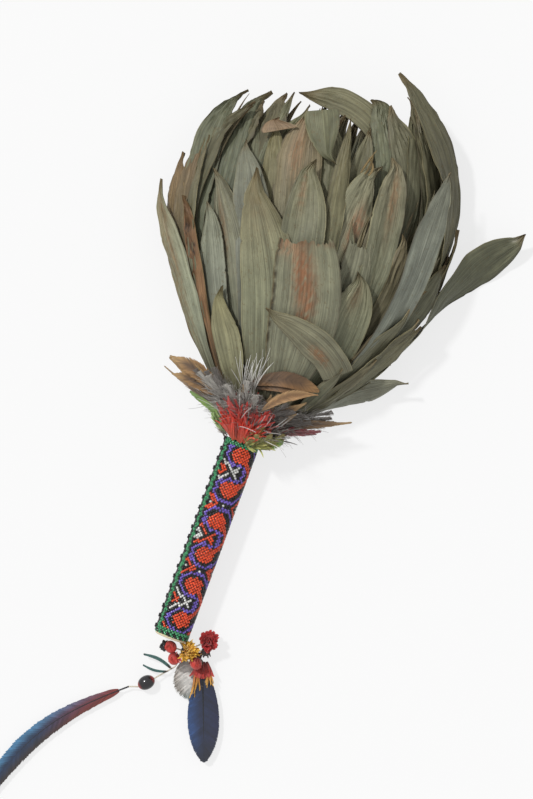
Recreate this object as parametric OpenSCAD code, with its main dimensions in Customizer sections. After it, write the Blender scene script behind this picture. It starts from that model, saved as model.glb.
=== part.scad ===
// Leaf rattle: a bundle of dried leaves on a round beaded handle, with a feather collar and a tassel.
// Millimetres. Origin at the middle of the grip on the handle axis, +Y towards the leaves, +Z up from the table.

/* [Handle] */
// Length of the beaded grip
handle_len = 144; // [110:1:190]
// Outer radius over the beads
sleeve_r = 12.5; // [10:0.1:16]
// Diameter of one seed bead, which is the wall of the sleeve
bead_d = 1.75; // [1.2:0.05:2.4]
// Wall of the cloth lining under the beads
cloth_wall = 1.2; // [0.8:0.1:2]
// Diameter of each leaf stalk bound into the grip
stalk_d = 5.7; // [4:0.1:6.4]
// Length of the stalks past the beads at the neck end
stalk_out = 1.6; // [1:0.1:3]
// Thickness of the end piece at the butt
butt_t = 2.0; // [1.2:0.1:4]
// Radius of the end piece at the butt
butt_r = 11.3; // [9:0.1:15]

/* [Neck] */
// Distance from the beads to the binding
binding_gap = 3.0; // [2:0.1:6]
// Length of the cord binding
binding_len = 10.6; // [8:0.1:16]
// Outer radius of the cord binding
binding_r = 13.3; // [11:0.1:13.5]
// Wall of the cord binding
binding_wall = 3.6; // [2:0.1:5]
// Length of the tied leaf bases past the binding
bases_len = 17.2; // [12:0.1:24]

/* [Leaf head] */
// Length of the leaf head from the binding to the crown
head_len = 260; // [200:1:320]
// Half width of the leaf head at its widest
head_w = 101; // [70:1:130]
// Height of the leaf head above the handle axis
head_h = 60; // [40:1:80]
// Depth of the leaf head below the handle axis
under_h = 13.2; // [12:0.1:16]
// Radius of the leaf bundle where it leaves the binding
neck_r = 13; // [11:0.5:16]
// Half width of the head at the crown
crown_w = 40; // [25:1:60]
// Height of the head above the axis at the crown
crown_h = 26; // [15:1:40]
// Sideways lean of the head
head_lean = -8; // [-15:1:15]
// Thickness of a dried leaf
leaf_t = 0.6; // [0.4:0.1:1]
// Width of a leaf where it leaves the tie, as a share of its full width
leaf_foot = 0.34; // [0.2:0.01:0.5]
// Depth of the lowest leaf below the axis, which the rattle rests on
rest_z = 14; // [13.8:0.1:18]
// Length of the lowest leaf
rest_len = 150; // [100:1:200]
// Width of the lowest leaf
rest_w = 46; // [30:1:60]

/* [Feather collar] */
// Thickness of a feather
feather_t = 0.6; // [0.4:0.1:1]

/* [Tassel] */
// Radius of the knot that gathers the tassel
knot_r = 3.2; // [2.4:0.1:4]
// Radius of the tassel threads
thread_r = 0.5; // [0.4:0.05:0.8]
// Radius of the red feather buds
bud_r = 4.0; // [3:0.1:4.4]
// Radius of the red rosette
rosette_r = 6.0; // [4:0.1:7]
// Length of the yellow tuft
tuft_len = 11; // [7:0.1:14]
// Radius of the yellow tuft at its end
tuft_r = 4.6; // [3:0.1:5]
// Length of the hanging seed
seed_len = 12.6; // [10:0.1:16]
// Thickness of the hanging seed
seed_d = 9.9; // [7:0.1:10]
// Length of the pale feather
pale_len = 30; // [20:1:40]
// Width of the pale feather
pale_w = 14; // [8:0.5:16]
// Length of the dark feather
dark_len = 12; // [8:0.5:16]
// Width of the dark feather
dark_w = 4; // [2:0.1:5]
// Length of the longer teal wisp
wisp_len = 22; // [14:0.5:26]
// Width of the longer teal wisp
wisp_w = 4; // [2:0.1:5]
// Length of the short blue feather
blue_len = 70; // [45:1:80]
// Width of the short blue feather
blue_w = 20; // [12:0.5:24]
// Length of the long feather
long_len = 140; // [110:1:190]
// Width of the long feather
long_w = 13.5; // [10:0.5:20]
// How far the long feather bows to one side
long_bow = 14; // [0:0.5:20]

/* [Hidden] */
$fn = 48;
// Gap between pieces that sit together
fit_gap = 0.3;
// Gap between layers wrapped one over the other
wrap_gap = 0.15;
// Gap between the tied bases and the feet of the leaves, which turn there
foot_gap = 0.8;
// Rings along a leaf, and along a feather
leaf_n = 10;
vane_n = 7;
// Fold of a collar feather along its shaft
vane_fold = 0.05;
// How far towards the tip a tassel feather is widest: above 1 is past the middle
plume_lean = 1.3;
// Ends of the grip
butt_y = -handle_len / 2;
top_y = handle_len / 2;
// Hinge of the neck, start of the binding and end of the binding
stalk_end_y = top_y + stalk_out;
binding_y = top_y + binding_gap;
neck_y = binding_y + binding_len + 0.4;
// Plane in which the leaves leave the tied bases
leaf_y = neck_y + bases_len + foot_gap;
// Layers of the handle from outside in
sleeve_in = sleeve_r - bead_d;
cloth_out = sleeve_in - wrap_gap;
cloth_in = cloth_out - cloth_wall;
// Columns of beads round the grip, and how far the rib of one column stands up
bead_columns = 42;
rib_h = 0.7;
// Where the head is widest, as a share of its length, and how its outline rises and falls
head_peak = 0.55;
head_rise = 1.8;
head_fall = 2.6;

// Outline of the head: n at the neck, m at the widest, c at the crown
function swell(t, n, m, c) =
    t < head_peak
        ? n + (m - n) * (1 - pow(min(1, max(0, 1 - t / head_peak)), head_rise))
        : m - (m - c) * pow(min(1.3, (t - head_peak) / (1 - head_peak)), head_fall);
function along(y) = (y - neck_y) / head_len;
function half_w(y) = swell(along(y), neck_r, head_w, crown_w);
function over_h(y) = swell(along(y), neck_r, head_h, crown_h);
function below_h(y) = swell(along(y), under_h - 1.2, under_h, under_h - 2);
function lean(y) = head_lean * sin(90 * min(1, max(0, along(y) / 0.5)));
// Point of layer k at angle f from the top, at y along the handle
function shell(f, y, k) = [
    lean(y) + k * half_w(y) * sin(f),
    y,
    k * (cos(f) > 0 ? over_h(y) : below_h(y)) * cos(f)
];
function unit(v) = v / norm(v);
// Curve through s, m and e, with m halfway
function bend(u, s, m, e) =
    pow(1 - u, 2) * s + 2 * u * (1 - u) * (2 * m - (s + e) / 2) + u * u * e;

// Leaf row: layer, angle at the foot, angle and reach halfway, angle and reach at the tip,
// width, share kept of a torn tip, fold, lift of the tip, roll, widest place.
// Reach is measured from the binding.
LEAVES = [
    ["leaf_broad_left", 1.00, 2, -9, 99, -28, 166, 40, 1, 0.06, 0, 0, 0.42],
    ["leaf_centre", 1.09, 22, 9, 91, -2, 176, 48, 0.74, -0.04, 0, 0, 0.50],
    ["leaf_bent_across", 1.18, 54, 42, 51, -3, 71, 27, 1, 0.05, 0, 0, 0.62],
    ["leaf_low_left", 1.04, -26, -29, 48, -33, 81, 22, 1, 0.08, 0, 0, 0.50],
    ["leaf_left_edge", 1.02, -60, -58, 80, -83, 139, 22, 1, 0.10, 6, -22, 0.50],
    ["leaf_left_inner", 0.96, -36, -40, 87, -48, 133, 20, 1, 0.10, 0, 0, 0.50],
    ["leaf_brown_curl", 0.945, -53, -53, 82, -62, 118, 9, 1, 0.20, 2, 0, 0.60],
    ["leaf_left_mid", 0.89, -22, -30, 99, -58, 157, 26, 1, 0.10, 0, 0, 0.50],
    ["leaf_left_upper", 0.83, -12, -24, 120, -49, 183, 26, 1, -0.06, 0, 0, 0.60],
    ["leaf_left_tip", 0.76, -4, -18, 133, -46, 200, 20, 1, 0.10, 0, 0, 0.60],
    ["leaf_top_folded", 0.80, 8, -8, 137, -28, 219, 32, 0.93, 0.04, 0, 0, 0.70],
    ["leaf_mid_upper", 0.90, 10, 0, 121, -7, 185, 30, 1, -0.06, 0, 0, 0.55],
    ["leaf_top_pleated", 0.73, 16, 5, 144, -14, 226, 26, 0.95, 0.10, 0, 0, 0.70],
    ["leaf_crown_bent", 0.63, 26, 26, 170, -48, 230, 20, 1, 0.02, 3, 0, 0.76],
    ["leaf_narrow_mid", 0.85, 26, 11, 137, 1, 221, 14, 1, 0.12, 0, 0, 0.55],
    ["leaf_narrow_top", 0.68, 34, 20, 151, 16, 218, 16, 1, 0, 0, 0, 0.60],
    ["leaf_right_patch", 0.80, 34, 19, 127, 27, 197, 30, 1, 0.06, 0, 0, 0.55],
    ["leaf_right_torn", 0.88, 42, 31, 104, 26, 170, 26, 0.76, 0.03, 0, 0, 0.55],
    ["leaf_right_low", 0.93, 48, 36, 79, 27, 123, 29, 1, -0.06, 0, 0, 0.50],
    ["leaf_right_broad", 1.04, 68, 53, 142, 64, 212, 25, 1, 0.06, 2, 0, 0.52],
    ["leaf_right_upper", 0.84, 50, 37, 141, 30, 205, 24, 1, 0.06, 0, 0, 0.60],
    ["leaf_right_crown", 0.74, 48, 40, 176, 16, 242, 26, 1, 0.06, 0, 0, 0.70],
    ["leaf_outlier", 1.09, 106, 100, 126, 90, 191, 24, 1, 0.04, 40, 74, 0.76],
    ["leaf_low_right", 1.19, 86, 89, 40, 86, 62, 21, 1, 0.06, 20, 58, 0.55],
    ["leaf_left_back", 0.95, -80, -74, 104, -84, 162, 22, 1, 0.08, 6, -20, 0.55]
];
// Leaves that lie in groups
RIGHT_RIM = [
    [0.90, 86, 72, 178, 24, 260, 24, 1, 0.06, 0, 0, 0.65],
    [0.79, 66, 57, 180, 60, 247, 24, 1, 0.10, 0, 0, 0.65],
    [0.96, 82, 78, 164, 78, 220, 16, 1, 0.06, 0, 12, 0.60],
    [0.84, 76, 65, 176, 48, 250, 18, 1, 0.06, 0, 0, 0.65],
    [0.69, 58, 50, 172, 38, 238, 20, 1, 0.06, 0, 0, 0.70],
    [1.00, 86, 86, 93, 84, 177, 14, 1, 0.06, 0, 4, 0.62],
    [0.978, 83, 75, 104, 98, 160, 14, 1, 0.06, 0, 0, 0.62]
];
RIGHT_STRIPS = [
    [1.00, 66, 57, 90, 67, 128, 12, 1, 0.10, 0, 0, 0.55],
    [0.94, 70, 62, 106, 72, 142, 12, 1, 0.10, 0, 0, 0.55],
    [1.00, 76, 73, 58, 80, 72, 6, 1, 0.10, 10, 0, 0.50],
    [0.90, 60, 51, 110, 43, 158, 12, 1, 0.15, 0, 0, 0.60]
];
LEFT_CROWN = [
    [0.90, -64, -64, 136, -79, 217, 24, 1, 0.12, 10, -28, 0.62],
    [0.82, -50, -52, 138, -75, 221, 26, 1, 0.10, 2, -18, 0.64]
];
LEFT_TIPS = [
    [0.68, -18, -36, 144, -32, 221, 16, 1, 0.10, 0, 0, 0.66],
    [0.75, -38, -44, 140, -72, 205, 20, 1, 0.08, 0, 0, 0.60],
    [0.715, -28, -44, 146, -50, 226, 18, 1, 0.08, 0, 0, 0.66]
];
// Straight leaves inside and underneath: layer, angle, reach, width
INNER = [
    [0.53, -72, 206, 22], [0.60, -48, 222, 22], [0.53, -24, 228, 29], [0.60, 0, 232, 29],
    [0.53, 24, 234, 29], [0.585, 48, 166, 22], [0.50, 72, 226, 22]
];
CORE = [
    [0.39, -60, 200, 19], [0.46, -36, 222, 22], [0.39, -12, 226, 22],
    [0.46, 12, 230, 22], [0.39, 36, 230, 22], [0.46, 60, 218, 19]
];
UNDER = [[0.94, 128, 214, 36], [0.94, 232, 204, 36]];
UNDER_INNER = [[0.80, 112, 199, 22], [0.70, 150, 214, 36], [0.70, 210, 220, 36], [0.80, 248, 194, 22]];
function straight(r) = [r[0], r[1], r[1], 104, r[1], r[2], r[3], 1, 0.03, 0, 0, 0.68];

// Half width of a leaf at share u of its length
function leaf_half(u, w, peak) =
    w / 2 * (u < peak
        ? leaf_foot + (1 - leaf_foot) * pow(sin(90 * u / peak), 0.9)
        : 0.02 + 0.98 * pow(max(0, cos(90 * pow((u - peak) / (1 - peak), 1.25))), 1.2));
function leaf_angle(r, u) = bend(u, r[1], r[2], r[4]);
function leaf_reach(r, u) = bend(u, leaf_y, neck_y + r[3], neck_y + r[5]);
// Outward direction used to lift a tip, level on the lower side
function outward(f) = unit([sin(f), 0, max(0, cos(f))]);
function leaf_mid(r, u) =
    let (f = leaf_angle(r, u))
    shell(f, leaf_reach(r, u), r[0])
        + (abs(f) < 179 ? outward(f) : [0, 0, 0]) * r[9] * pow(min(1, max(0, (u - 0.5) / 0.5)), 1.3);
// One ring of six points round a blade: its outer face, then its inner face back again
function ring(c, s, n, h, fold, t) = [
    for (v = [-1, 0, 1]) c + s * h * v + n * (fold * h * abs(v) + t / 2),
    for (v = [1, 0, -1]) c + s * h * v + n * (fold * h * abs(v) - t / 2)
];
function leaf_ring(r, u) =
    let (
        f = leaf_angle(r, u),
        y = leaf_reach(r, u),
        tan_u = unit(leaf_mid(r, u + 0.001) - leaf_mid(r, u - 0.001)),
        round_f = shell(f + 0.2, y, r[0]) - shell(f - 0.2, y, r[0]),
        round_y = shell(f, y + 0.2, r[0]) - shell(f, y - 0.2, r[0]),
        out_a = unit(cross(round_y, round_f)),
        out_n = unit(out_a - tan_u * (out_a * tan_u)),
        side = cross(tan_u, out_n),
        a = r[10] * min(1, u / 0.7)
    )
    ring(leaf_mid(r, u), side * cos(a) + out_n * sin(a), out_n * cos(a) - side * sin(a),
        leaf_half(u, r[6], r[11]), r[8], leaf_t);
// Closed blade from a list of six-point rings
module blade(rings) {
    n = len(rings);
    faces = [
        for (i = [0 : n - 2]) for (j = [0 : 5])
            let (a = i * 6 + j, b = i * 6 + (j + 1) % 6)
            each [[a, a + 6, b + 6], [a, b + 6, b]],
        [0, 1, 2], [0, 2, 3], [0, 3, 5], [5, 3, 4],
        for (o = [(n - 1) * 6]) each [
            [o, o + 2, o + 1], [o, o + 3, o + 2], [o, o + 5, o + 3], [o + 5, o + 4, o + 3]
        ]
    ];
    polyhedron([for (r = rings) each r], faces);
}
// The foot ring is cut level, so that every leaf stands on the tied bases
module leaf(r) {
    blade([for (i = [0 : leaf_n])
        let (points = leaf_ring(r, r[7] * i / leaf_n))
        i == 0 ? [for (p = points) [p[0], leaf_y, p[2]]] : points
    ]);
}
function row(name) = [for (l = LEAVES) if (l[0] == name) each [for (i = [1 : 12]) l[i]]];

// Feather row in the collar: foot past the beads, layer at the tip, angle at the foot and the tip, reach past the beads,
// width. The feet sit on the cord binding, the outer feathers lower down.
HEN = [
    [10.5, 1.80, -50, -73, 38, 9], [7.5, 2.20, -76, -80, 31, 8], [10.5, 1.46, -8, -11, 38, 10],
    [10.5, 1.48, 30, 35, 41, 9], [10.5, 1.85, 58, 73, 39, 9], [9, 1.62, 12, 13, 40, 9]
];
DOWN = [
    [9, 1.68, -34, -45, 32, 8.5], [7.5, 1.78, 1, 2, 35, 9], [9, 1.68, 45, 55, 30, 9],
    [7.5, 1.80, 27, 28, 33, 8], [7.5, 1.84, -21, -28, 37, 7.5]
];
RED = [
    [6, 2.02, -31, -20, 27, 7], [4.5, 2.15, -48, -37, 20, 7], [6, 2.02, 9, 14, 25, 7],
    [4.5, 2.10, -9, -5, 18, 6], [4.5, 2.10, 24, 28, 16, 6]
];
DARK_RED = [[7.5, 2.10, 63, 66, 26, 6], [6, 2.10, 80, 82, 23, 5]];
GREEN = [
    [6, 2.35, -63, -69, 21, 7], [4.5, 2.10, -84, -88, 13, 6], [4.5, 2.30, 50, 63, 10, 7],
    [4.5, 2.20, -66, -60, 10, 5]
];
BACK_FEATHERS = [
    [7.5, 1.50, 112, 106, 28, 8], [7.5, 1.38, 138, 136, 24, 8],
    [7.5, 1.38, 222, 224, 24, 8], [7.5, 1.50, 248, 254, 28, 8]
];
function vane_half(u, w) = w / 2 * (0.16 + 0.84 * pow(sin(180 * pow(u, 0.8)), 0.7) * (1 - 0.3 * u)) + 0.1;
function vane_mid(r, u) =
    let (
        f = r[2] + (r[3] - r[2]) * u,
        y = top_y + r[0] + (r[4] - r[0]) * u,
        seat = binding_r + fit_gap + feather_t / 2,
        q = u <= 0 ? 0 : 1 - pow(max(0, 1 - u), 1.7)
    )
    (1 - q) * [seat * sin(f), y, seat * cos(f)] + q * shell(f, y, r[1]);
function vane_ring(r, u) =
    let (
        f = r[2] + (r[3] - r[2]) * u,
        tan_u = unit(vane_mid(r, u + 0.001) - vane_mid(r, u - 0.001)),
        out_a = [sin(f), 0, cos(f)],
        out_n = unit(out_a - tan_u * (out_a * tan_u))
    )
    ring(vane_mid(r, u), cross(tan_u, out_n), out_n, vane_half(u, r[5]), vane_fold, feather_t);
module feathers(rows) {
    for (r = rows) blade([for (i = [0 : vane_n]) vane_ring(r, i / vane_n)]);
}

// Flat feather in the tassel, from p along the level angle a, curving up by arch and to one side by bow
module plume(p, a, length, w, arch, bow = 0) {
    d = [cos(a), sin(a), 0];
    s = [sin(a), -cos(a), 0];
    blade([for (i = [0 : vane_n])
        let (u = i / vane_n)
        ring(p + d * length * u + (s * bow + [0, 0, arch]) * sin(180 * u), s, [0, 0, 1],
            w / 2 * (0.1 + 0.9 * pow(sin(180 * pow(min(u, 0.985), plume_lean)), 0.65)), 0.06, feather_t)
    ]);
}
// Round thread between two points
module thread(a, b, r) {
    d = b - a;
    translate(a)
        rotate([0, acos(d[2] / norm(d)), atan2(d[1], d[0])])
            cylinder(r = r, h = norm(d));
}
// Bar along +Y from y0 to y1
module bar(r, y0, y1) {
    translate([0, y0, 0])
        rotate([-90, 0, 0])
            cylinder(r = r, h = y1 - y0);
}

// Room between the butt and the bud beside it when the tassel swings
swing_gap = 1.7;
// Points of the tassel, measured from the butt
tie = [7, butt_y - butt_t - fit_gap, -3];
knot = [13, butt_y - 7.6, -5];
bud_1 = [2.4, butt_y - butt_t - bud_r - swing_gap, 1];
bud_2 = [7.4, butt_y - 14.6, 0];
bud_3 = [23, butt_y - 12.4, 0];
rosette_at = [27, butt_y + 6, -4];
// Tilt and turn of the yellow tuft, which stands on the knot
tuft_tilt = 24;
tuft_turn = 40;
tuft_at = knot + [
    sin(tuft_tilt) * cos(tuft_turn),
    sin(tuft_tilt) * sin(tuft_turn),
    cos(tuft_tilt)
] * (knot_r + fit_gap);
plume_at = [13.5, butt_y - 13, -10.8];
dark_at = [21, butt_y - 5.6, -6.5];
blue_at = [27, butt_y - 10.5, -8];
strand_at = [10, butt_y - 21, -11];
seed_at = [-5, butt_y - 38, -8.6];
long_at = [-15.6, butt_y - 45, -9.4];
// Level directions of the seed strand, the blue feather and the long feather
strand_a = -132;
blue_a = -69;
long_a = -121;
strand_d = [cos(strand_a), sin(strand_a), 0];

// Seven stalks, one in the middle and six round it
module stalk_bundle() {
    color("#8a7650") {
        bar(stalk_d / 2, butt_y, stalk_end_y);
        for (i = [0 : 5])
            rotate([0, 60 * i, 0])
                translate([stalk_d + wrap_gap, 0, 0])
                    bar(stalk_d / 2, butt_y, stalk_end_y);
    }
}
module tube(r_out, r_in, y0, y1) {
    difference() {
        bar(r_out, y0, y1);
        bar(r_in, y0 - 1, y1 + 1);
    }
}
module cloth_lining() {
    color("#d8cfbb") tube(cloth_out, cloth_in, butt_y, top_y);
}
// Tube with a rounded rib for each column of beads
module bead_sleeve() {
    steps = 4;
    color("#39414a")
        translate([0, butt_y, 0])
            rotate([-90, 0, 0])
                linear_extrude(handle_len)
                    difference() {
                        polygon([for (i = [0 : bead_columns * steps - 1])
                            let (
                                a = 360 * i / (bead_columns * steps),
                                r = sleeve_r - rib_h * pow(1 - 2 * (i % steps) / steps, 2)
                            )
                            [r * sin(a), r * cos(a)]
                        ]);
                        circle(r = sleeve_in);
                    }
}
module butt_end() {
    color("#e3d9c3") bar(butt_r, butt_y - butt_t, butt_y - wrap_gap);
}
module cord_binding() {
    color("#7b6a4d") tube(binding_r, binding_r - binding_wall, binding_y, binding_y + binding_len);
}
// Tied leaf bases: a point at the stalks, a core inside the binding and a shoulder that follows the head
function base_ring(y, side) = [
    for (i = [0 : 31])
        let (f = 360 * i / 32, p = shell(f, y, 1))
        [lean(y) + (p[0] - lean(y)) * side, y, p[2] * (p[2] > 0 ? side : 1.05)]
];
module leaf_bases() {
    color("#5f5b42") {
        rings = [for (i = [0 : 4]) base_ring(neck_y + bases_len * i / 4, 1.02 + 0.19 * i / 4)];
        n = len(rings);
        polyhedron([for (r = rings) each r], [
            for (i = [0 : n - 2]) for (j = [0 : 31])
                let (a = i * 32 + j, b = i * 32 + (j + 1) % 32)
                each [[a, b + 32, b], [a, a + 32, b + 32]],
            [for (j = [0 : 31]) j],
            [for (j = [31 : -1 : 0]) (n - 1) * 32 + j]
        ]);
        translate([0, stalk_end_y + fit_gap, 0])
            rotate([-90, 0, 0])
                cylinder(r1 = 2, r2 = binding_r - binding_wall - wrap_gap, h = 6);
        bar(binding_r - binding_wall - wrap_gap, stalk_end_y + fit_gap + 6, neck_y - wrap_gap);
    }
}
module one_leaf(name, shade) {
    color(shade) leaf(row(name));
}
module group(rows, shade) {
    color(shade) for (r = rows) leaf(r);
}
// Lowest leaf, flat, which the head rests on
module rest_leaf() {
    n = 14;
    edge = [for (i = [0 : n]) [leaf_half(i / n, rest_w, 0.5), rest_len * i / n]];
    color("#77745a")
        translate([lean(leaf_y), leaf_y, -rest_z])
            linear_extrude(leaf_t)
                polygon(concat(edge, [for (i = [n : -1 : 0]) [-edge[i][0], edge[i][1]]]));
}
// Round bud with a pointed end, standing on p along +Z
module bud(p, r, tall) {
    translate(p)
        rotate_extrude()
            polygon(concat([[0, -r]], [for (i = [1 : 9]) [r * sin(18 * i), -r * cos(18 * i) * (i > 5 ? tall : 1)]],
                [[0, r * tall]]));
}
module tassel_knot() {
    color("#2b2724") translate(knot) sphere(r = knot_r);
}
// Threads from the knot to what hangs on it, each stopping just short of both ends
module link(a, b, ra, rb) {
    d = unit(b - a);
    thread(a + d * (ra + 0.1), b - d * (rb + 0.1), thread_r);
}
module tassel_threads() {
    color("#d9d3c4") {
        link(tie, knot, 0, knot_r);
        link(knot, bud_1, knot_r, bud_r);
        link(knot, bud_2, knot_r, bud_r);
        link(knot, bud_3, knot_r, bud_r);
        link(knot, rosette_at, knot_r, rosette_r);
        link(knot, blue_at, knot_r, 1.2);
        link(knot, strand_at, knot_r, 0.3);
    }
}
module red_buds() {
    color("#9e2f2a") {
        bud(bud_1, bud_r, 1.2);
        bud(bud_2, bud_r, 1.2);
        bud(bud_3, bud_r, 1.2);
    }
}
module red_rosette() {
    color("#8c2626") bud(rosette_at, rosette_r, 1);
}
module yellow_tuft() {
    color("#b07f2c")
        translate(tuft_at)
            rotate([0, tuft_tilt, tuft_turn])
                cylinder(r1 = 1.2, r2 = tuft_r, h = tuft_len);
}
module pale_feather() {
    color("#b3b1ad") plume(plume_at, -58, pale_len, pale_w, 0.6);
}
module dark_feather() {
    color("#2f3a2c") plume(dark_at, -52, dark_len, dark_w, 0.6);
}
module blue_feather() {
    color("#2c3a58") plume(blue_at, blue_a, blue_len, blue_w, -1.6);
}
module seed_thread() {
    color("#d9d3c4") {
        link(strand_at, seed_at - strand_d * seed_len / 2, 0.3, 0.3);
        link(seed_at + strand_d * seed_len / 2, long_at, 0.3, 1.2);
    }
}
module hanging_seed() {
    color("#2a2020")
        translate(seed_at)
            rotate([0, 90, strand_a])
                rotate_extrude()
                    polygon([for (i = [0 : 16]) [max(0, seed_d / 2 * sin(11.25 * i)), -seed_len / 2 * cos(11.25 * i)]]);
}
module teal_wisps() {
    color("#3f6a68") {
        plume(strand_at + [-1.4, -2.0, 2.2], 172, wisp_len, wisp_w, 0.8);
        plume(strand_at + [-3.2, -4.4, 2.2], 186, wisp_len - 4, wisp_w - 1, 0.8);
    }
}
module long_feather() {
    color("#39506e") plume(long_at, long_a, long_len, long_w, -1.2, long_bow);
}

stalk_bundle();
cloth_lining();
bead_sleeve();
butt_end();
cord_binding();
leaf_bases();
one_leaf("leaf_broad_left", "#7d7c5f");  // leaf_broad_left
one_leaf("leaf_centre", "#84806a");  // leaf_centre
one_leaf("leaf_bent_across", "#78755f");  // leaf_bent_across
one_leaf("leaf_low_left", "#838164");  // leaf_low_left
one_leaf("leaf_left_edge", "#918a69");  // leaf_left_edge
one_leaf("leaf_left_inner", "#7f8070");  // leaf_left_inner
one_leaf("leaf_brown_curl", "#79644e");  // leaf_brown_curl
one_leaf("leaf_left_mid", "#6d6852");  // leaf_left_mid
one_leaf("leaf_left_upper", "#70705e");  // leaf_left_upper
one_leaf("leaf_left_tip", "#6e684e");  // leaf_left_tip
one_leaf("leaf_top_folded", "#86765a");  // leaf_top_folded
one_leaf("leaf_mid_upper", "#787963");  // leaf_mid_upper
one_leaf("leaf_top_pleated", "#72725b");  // leaf_top_pleated
one_leaf("leaf_crown_bent", "#807c5f");  // leaf_crown_bent
one_leaf("leaf_narrow_mid", "#66634c");  // leaf_narrow_mid
one_leaf("leaf_narrow_top", "#5d5a45");  // leaf_narrow_top
one_leaf("leaf_right_patch", "#867c61");  // leaf_right_patch
one_leaf("leaf_right_torn", "#6f6f5a");  // leaf_right_torn
one_leaf("leaf_right_low", "#76745b");  // leaf_right_low
one_leaf("leaf_right_broad", "#767a6b");  // leaf_right_broad
one_leaf("leaf_right_upper", "#6f6a54");  // leaf_right_upper
one_leaf("leaf_right_crown", "#6d6c55");  // leaf_right_crown
one_leaf("leaf_outlier", "#555644");  // leaf_outlier
one_leaf("leaf_low_right", "#797b6d");  // leaf_low_right
one_leaf("leaf_left_back", "#7d7659");  // leaf_left_back
group(RIGHT_RIM, "#5b5945");  // right_rim_leaves
group(RIGHT_STRIPS, "#6b5f49");  // right_strips
group(LEFT_CROWN, "#6a674f");  // left_crown_leaves
group(LEFT_TIPS, "#65624b");  // left_tip_leaves
group([for (r = INNER) straight(r)], "#5f5d47");  // inner_leaves
group([for (r = CORE) straight(r)], "#55533f");  // core_leaves
group([for (r = UNDER) straight(r)], "#6b6a52");  // under_leaves
group([for (r = UNDER_INNER) straight(r)], "#605f4a");  // under_inner_leaves
rest_leaf();
color("#7a6448") feathers(HEN);  // hen_feathers
color("#5a524c") feathers(DOWN);  // down_feathers
color("#86302b") feathers(RED);  // red_feathers
color("#6d2a2c") feathers(DARK_RED);  // dark_red_feathers
color("#7d8a4e") feathers(GREEN);  // green_feathers
color("#5d5248") feathers(BACK_FEATHERS);  // back_feathers
tassel_knot();
tassel_threads();
red_buds();
red_rosette();
yellow_tuft();
pale_feather();
dark_feather();
blue_feather();
seed_thread();
hanging_seed();
teal_wisps();
long_feather();
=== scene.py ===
"""Leaf rattle, dressed: dried leaves, a feather collar, a beaded grip and a tassel of seed and feathers.

Sizes are millimetres in the part's own frame: the origin is in the middle of the grip, +Y points towards the
leaves and +Z up. They become metres where a mesh is made.
"""

from __future__ import annotations

import logging
import math
from dataclasses import dataclass
from enum import Enum

import bpy
import numpy as np
from mathutils import Matrix, Vector


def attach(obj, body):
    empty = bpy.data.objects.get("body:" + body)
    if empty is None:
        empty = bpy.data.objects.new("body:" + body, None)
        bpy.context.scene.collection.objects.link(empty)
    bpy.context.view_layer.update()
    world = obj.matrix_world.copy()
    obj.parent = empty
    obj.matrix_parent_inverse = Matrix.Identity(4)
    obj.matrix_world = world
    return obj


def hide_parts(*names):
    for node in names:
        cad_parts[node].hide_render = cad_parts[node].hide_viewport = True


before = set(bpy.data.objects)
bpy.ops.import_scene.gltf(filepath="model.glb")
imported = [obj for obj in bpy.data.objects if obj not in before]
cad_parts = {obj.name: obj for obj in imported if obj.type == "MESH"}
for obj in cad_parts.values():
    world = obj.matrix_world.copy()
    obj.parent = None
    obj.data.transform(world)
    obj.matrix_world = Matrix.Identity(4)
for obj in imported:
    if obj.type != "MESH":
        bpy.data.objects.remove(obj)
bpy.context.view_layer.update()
LOG = logging.getLogger("leaf_rattle")
Array = np.ndarray
Random = np.random.Generator
Material = bpy.types.Material
Node = bpy.types.Node
Piece = bpy.types.Object
Socket = bpy.types.NodeSocket
Tree = bpy.types.NodeTree
Point = tuple[float, float, float]
Range = tuple[float, float]
MM = 0.001
TURN = 2 * math.pi


def linear(code: str) -> Array:
    """Turns an sRGB hex colour to linear light.

    Args:
        code: Colour as "#rrggbb".

    Returns:
        Four numbers, red, green, blue and alpha.
    """
    srgb = np.array([int(code[i:i + 2], 16) for i in (1, 3, 5)]) / 255
    light = np.where(srgb <= 0.04045, srgb / 12.92, ((srgb + 0.055) / 1.055) ** 2.4)
    return np.append(light, 1.0)


def unit(v: Array) -> Array:
    """Vectors of length one, along the last axis."""
    return v / np.linalg.norm(v, axis=-1, keepdims=True)


def ramp(x: Array, low: float, high: float) -> Array:
    """Smooth step from 0 at low to 1 at high."""
    t = np.clip((x - low) / (high - low), 0, 1)
    return t * t * (3 - 2 * t)


def mix(a: Array, b: Array, share: Array) -> Array:
    """Colours between a and b, where share 1 is b."""
    share = np.asarray(share)[..., None]
    return a * (1 - share) + b * share


def ripple(rng: Random, x: Array, y: Array, waves: int = 5) -> Array:
    """Soft uneven pattern between about -1 and 1: a sum of sine waves with seeded directions and phases.

    Args:
        rng: Seeded source of directions and phases.
        x: First coordinate, where 1 is about one bump.
        y: Second coordinate.
        waves: Number of sine waves.

    Returns:
        The pattern, in the shape of x and y.
    """
    turn = rng.uniform(0, TURN, waves)
    size = rng.uniform(0.6, 1.7, waves)
    phase = rng.uniform(0, TURN, waves)
    total = sum(np.sin(TURN * s * (x * math.cos(t) + y * math.sin(t)) + p)
                for t, s, p in zip(turn, size, phase))
    return total / math.sqrt(waves)


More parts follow.
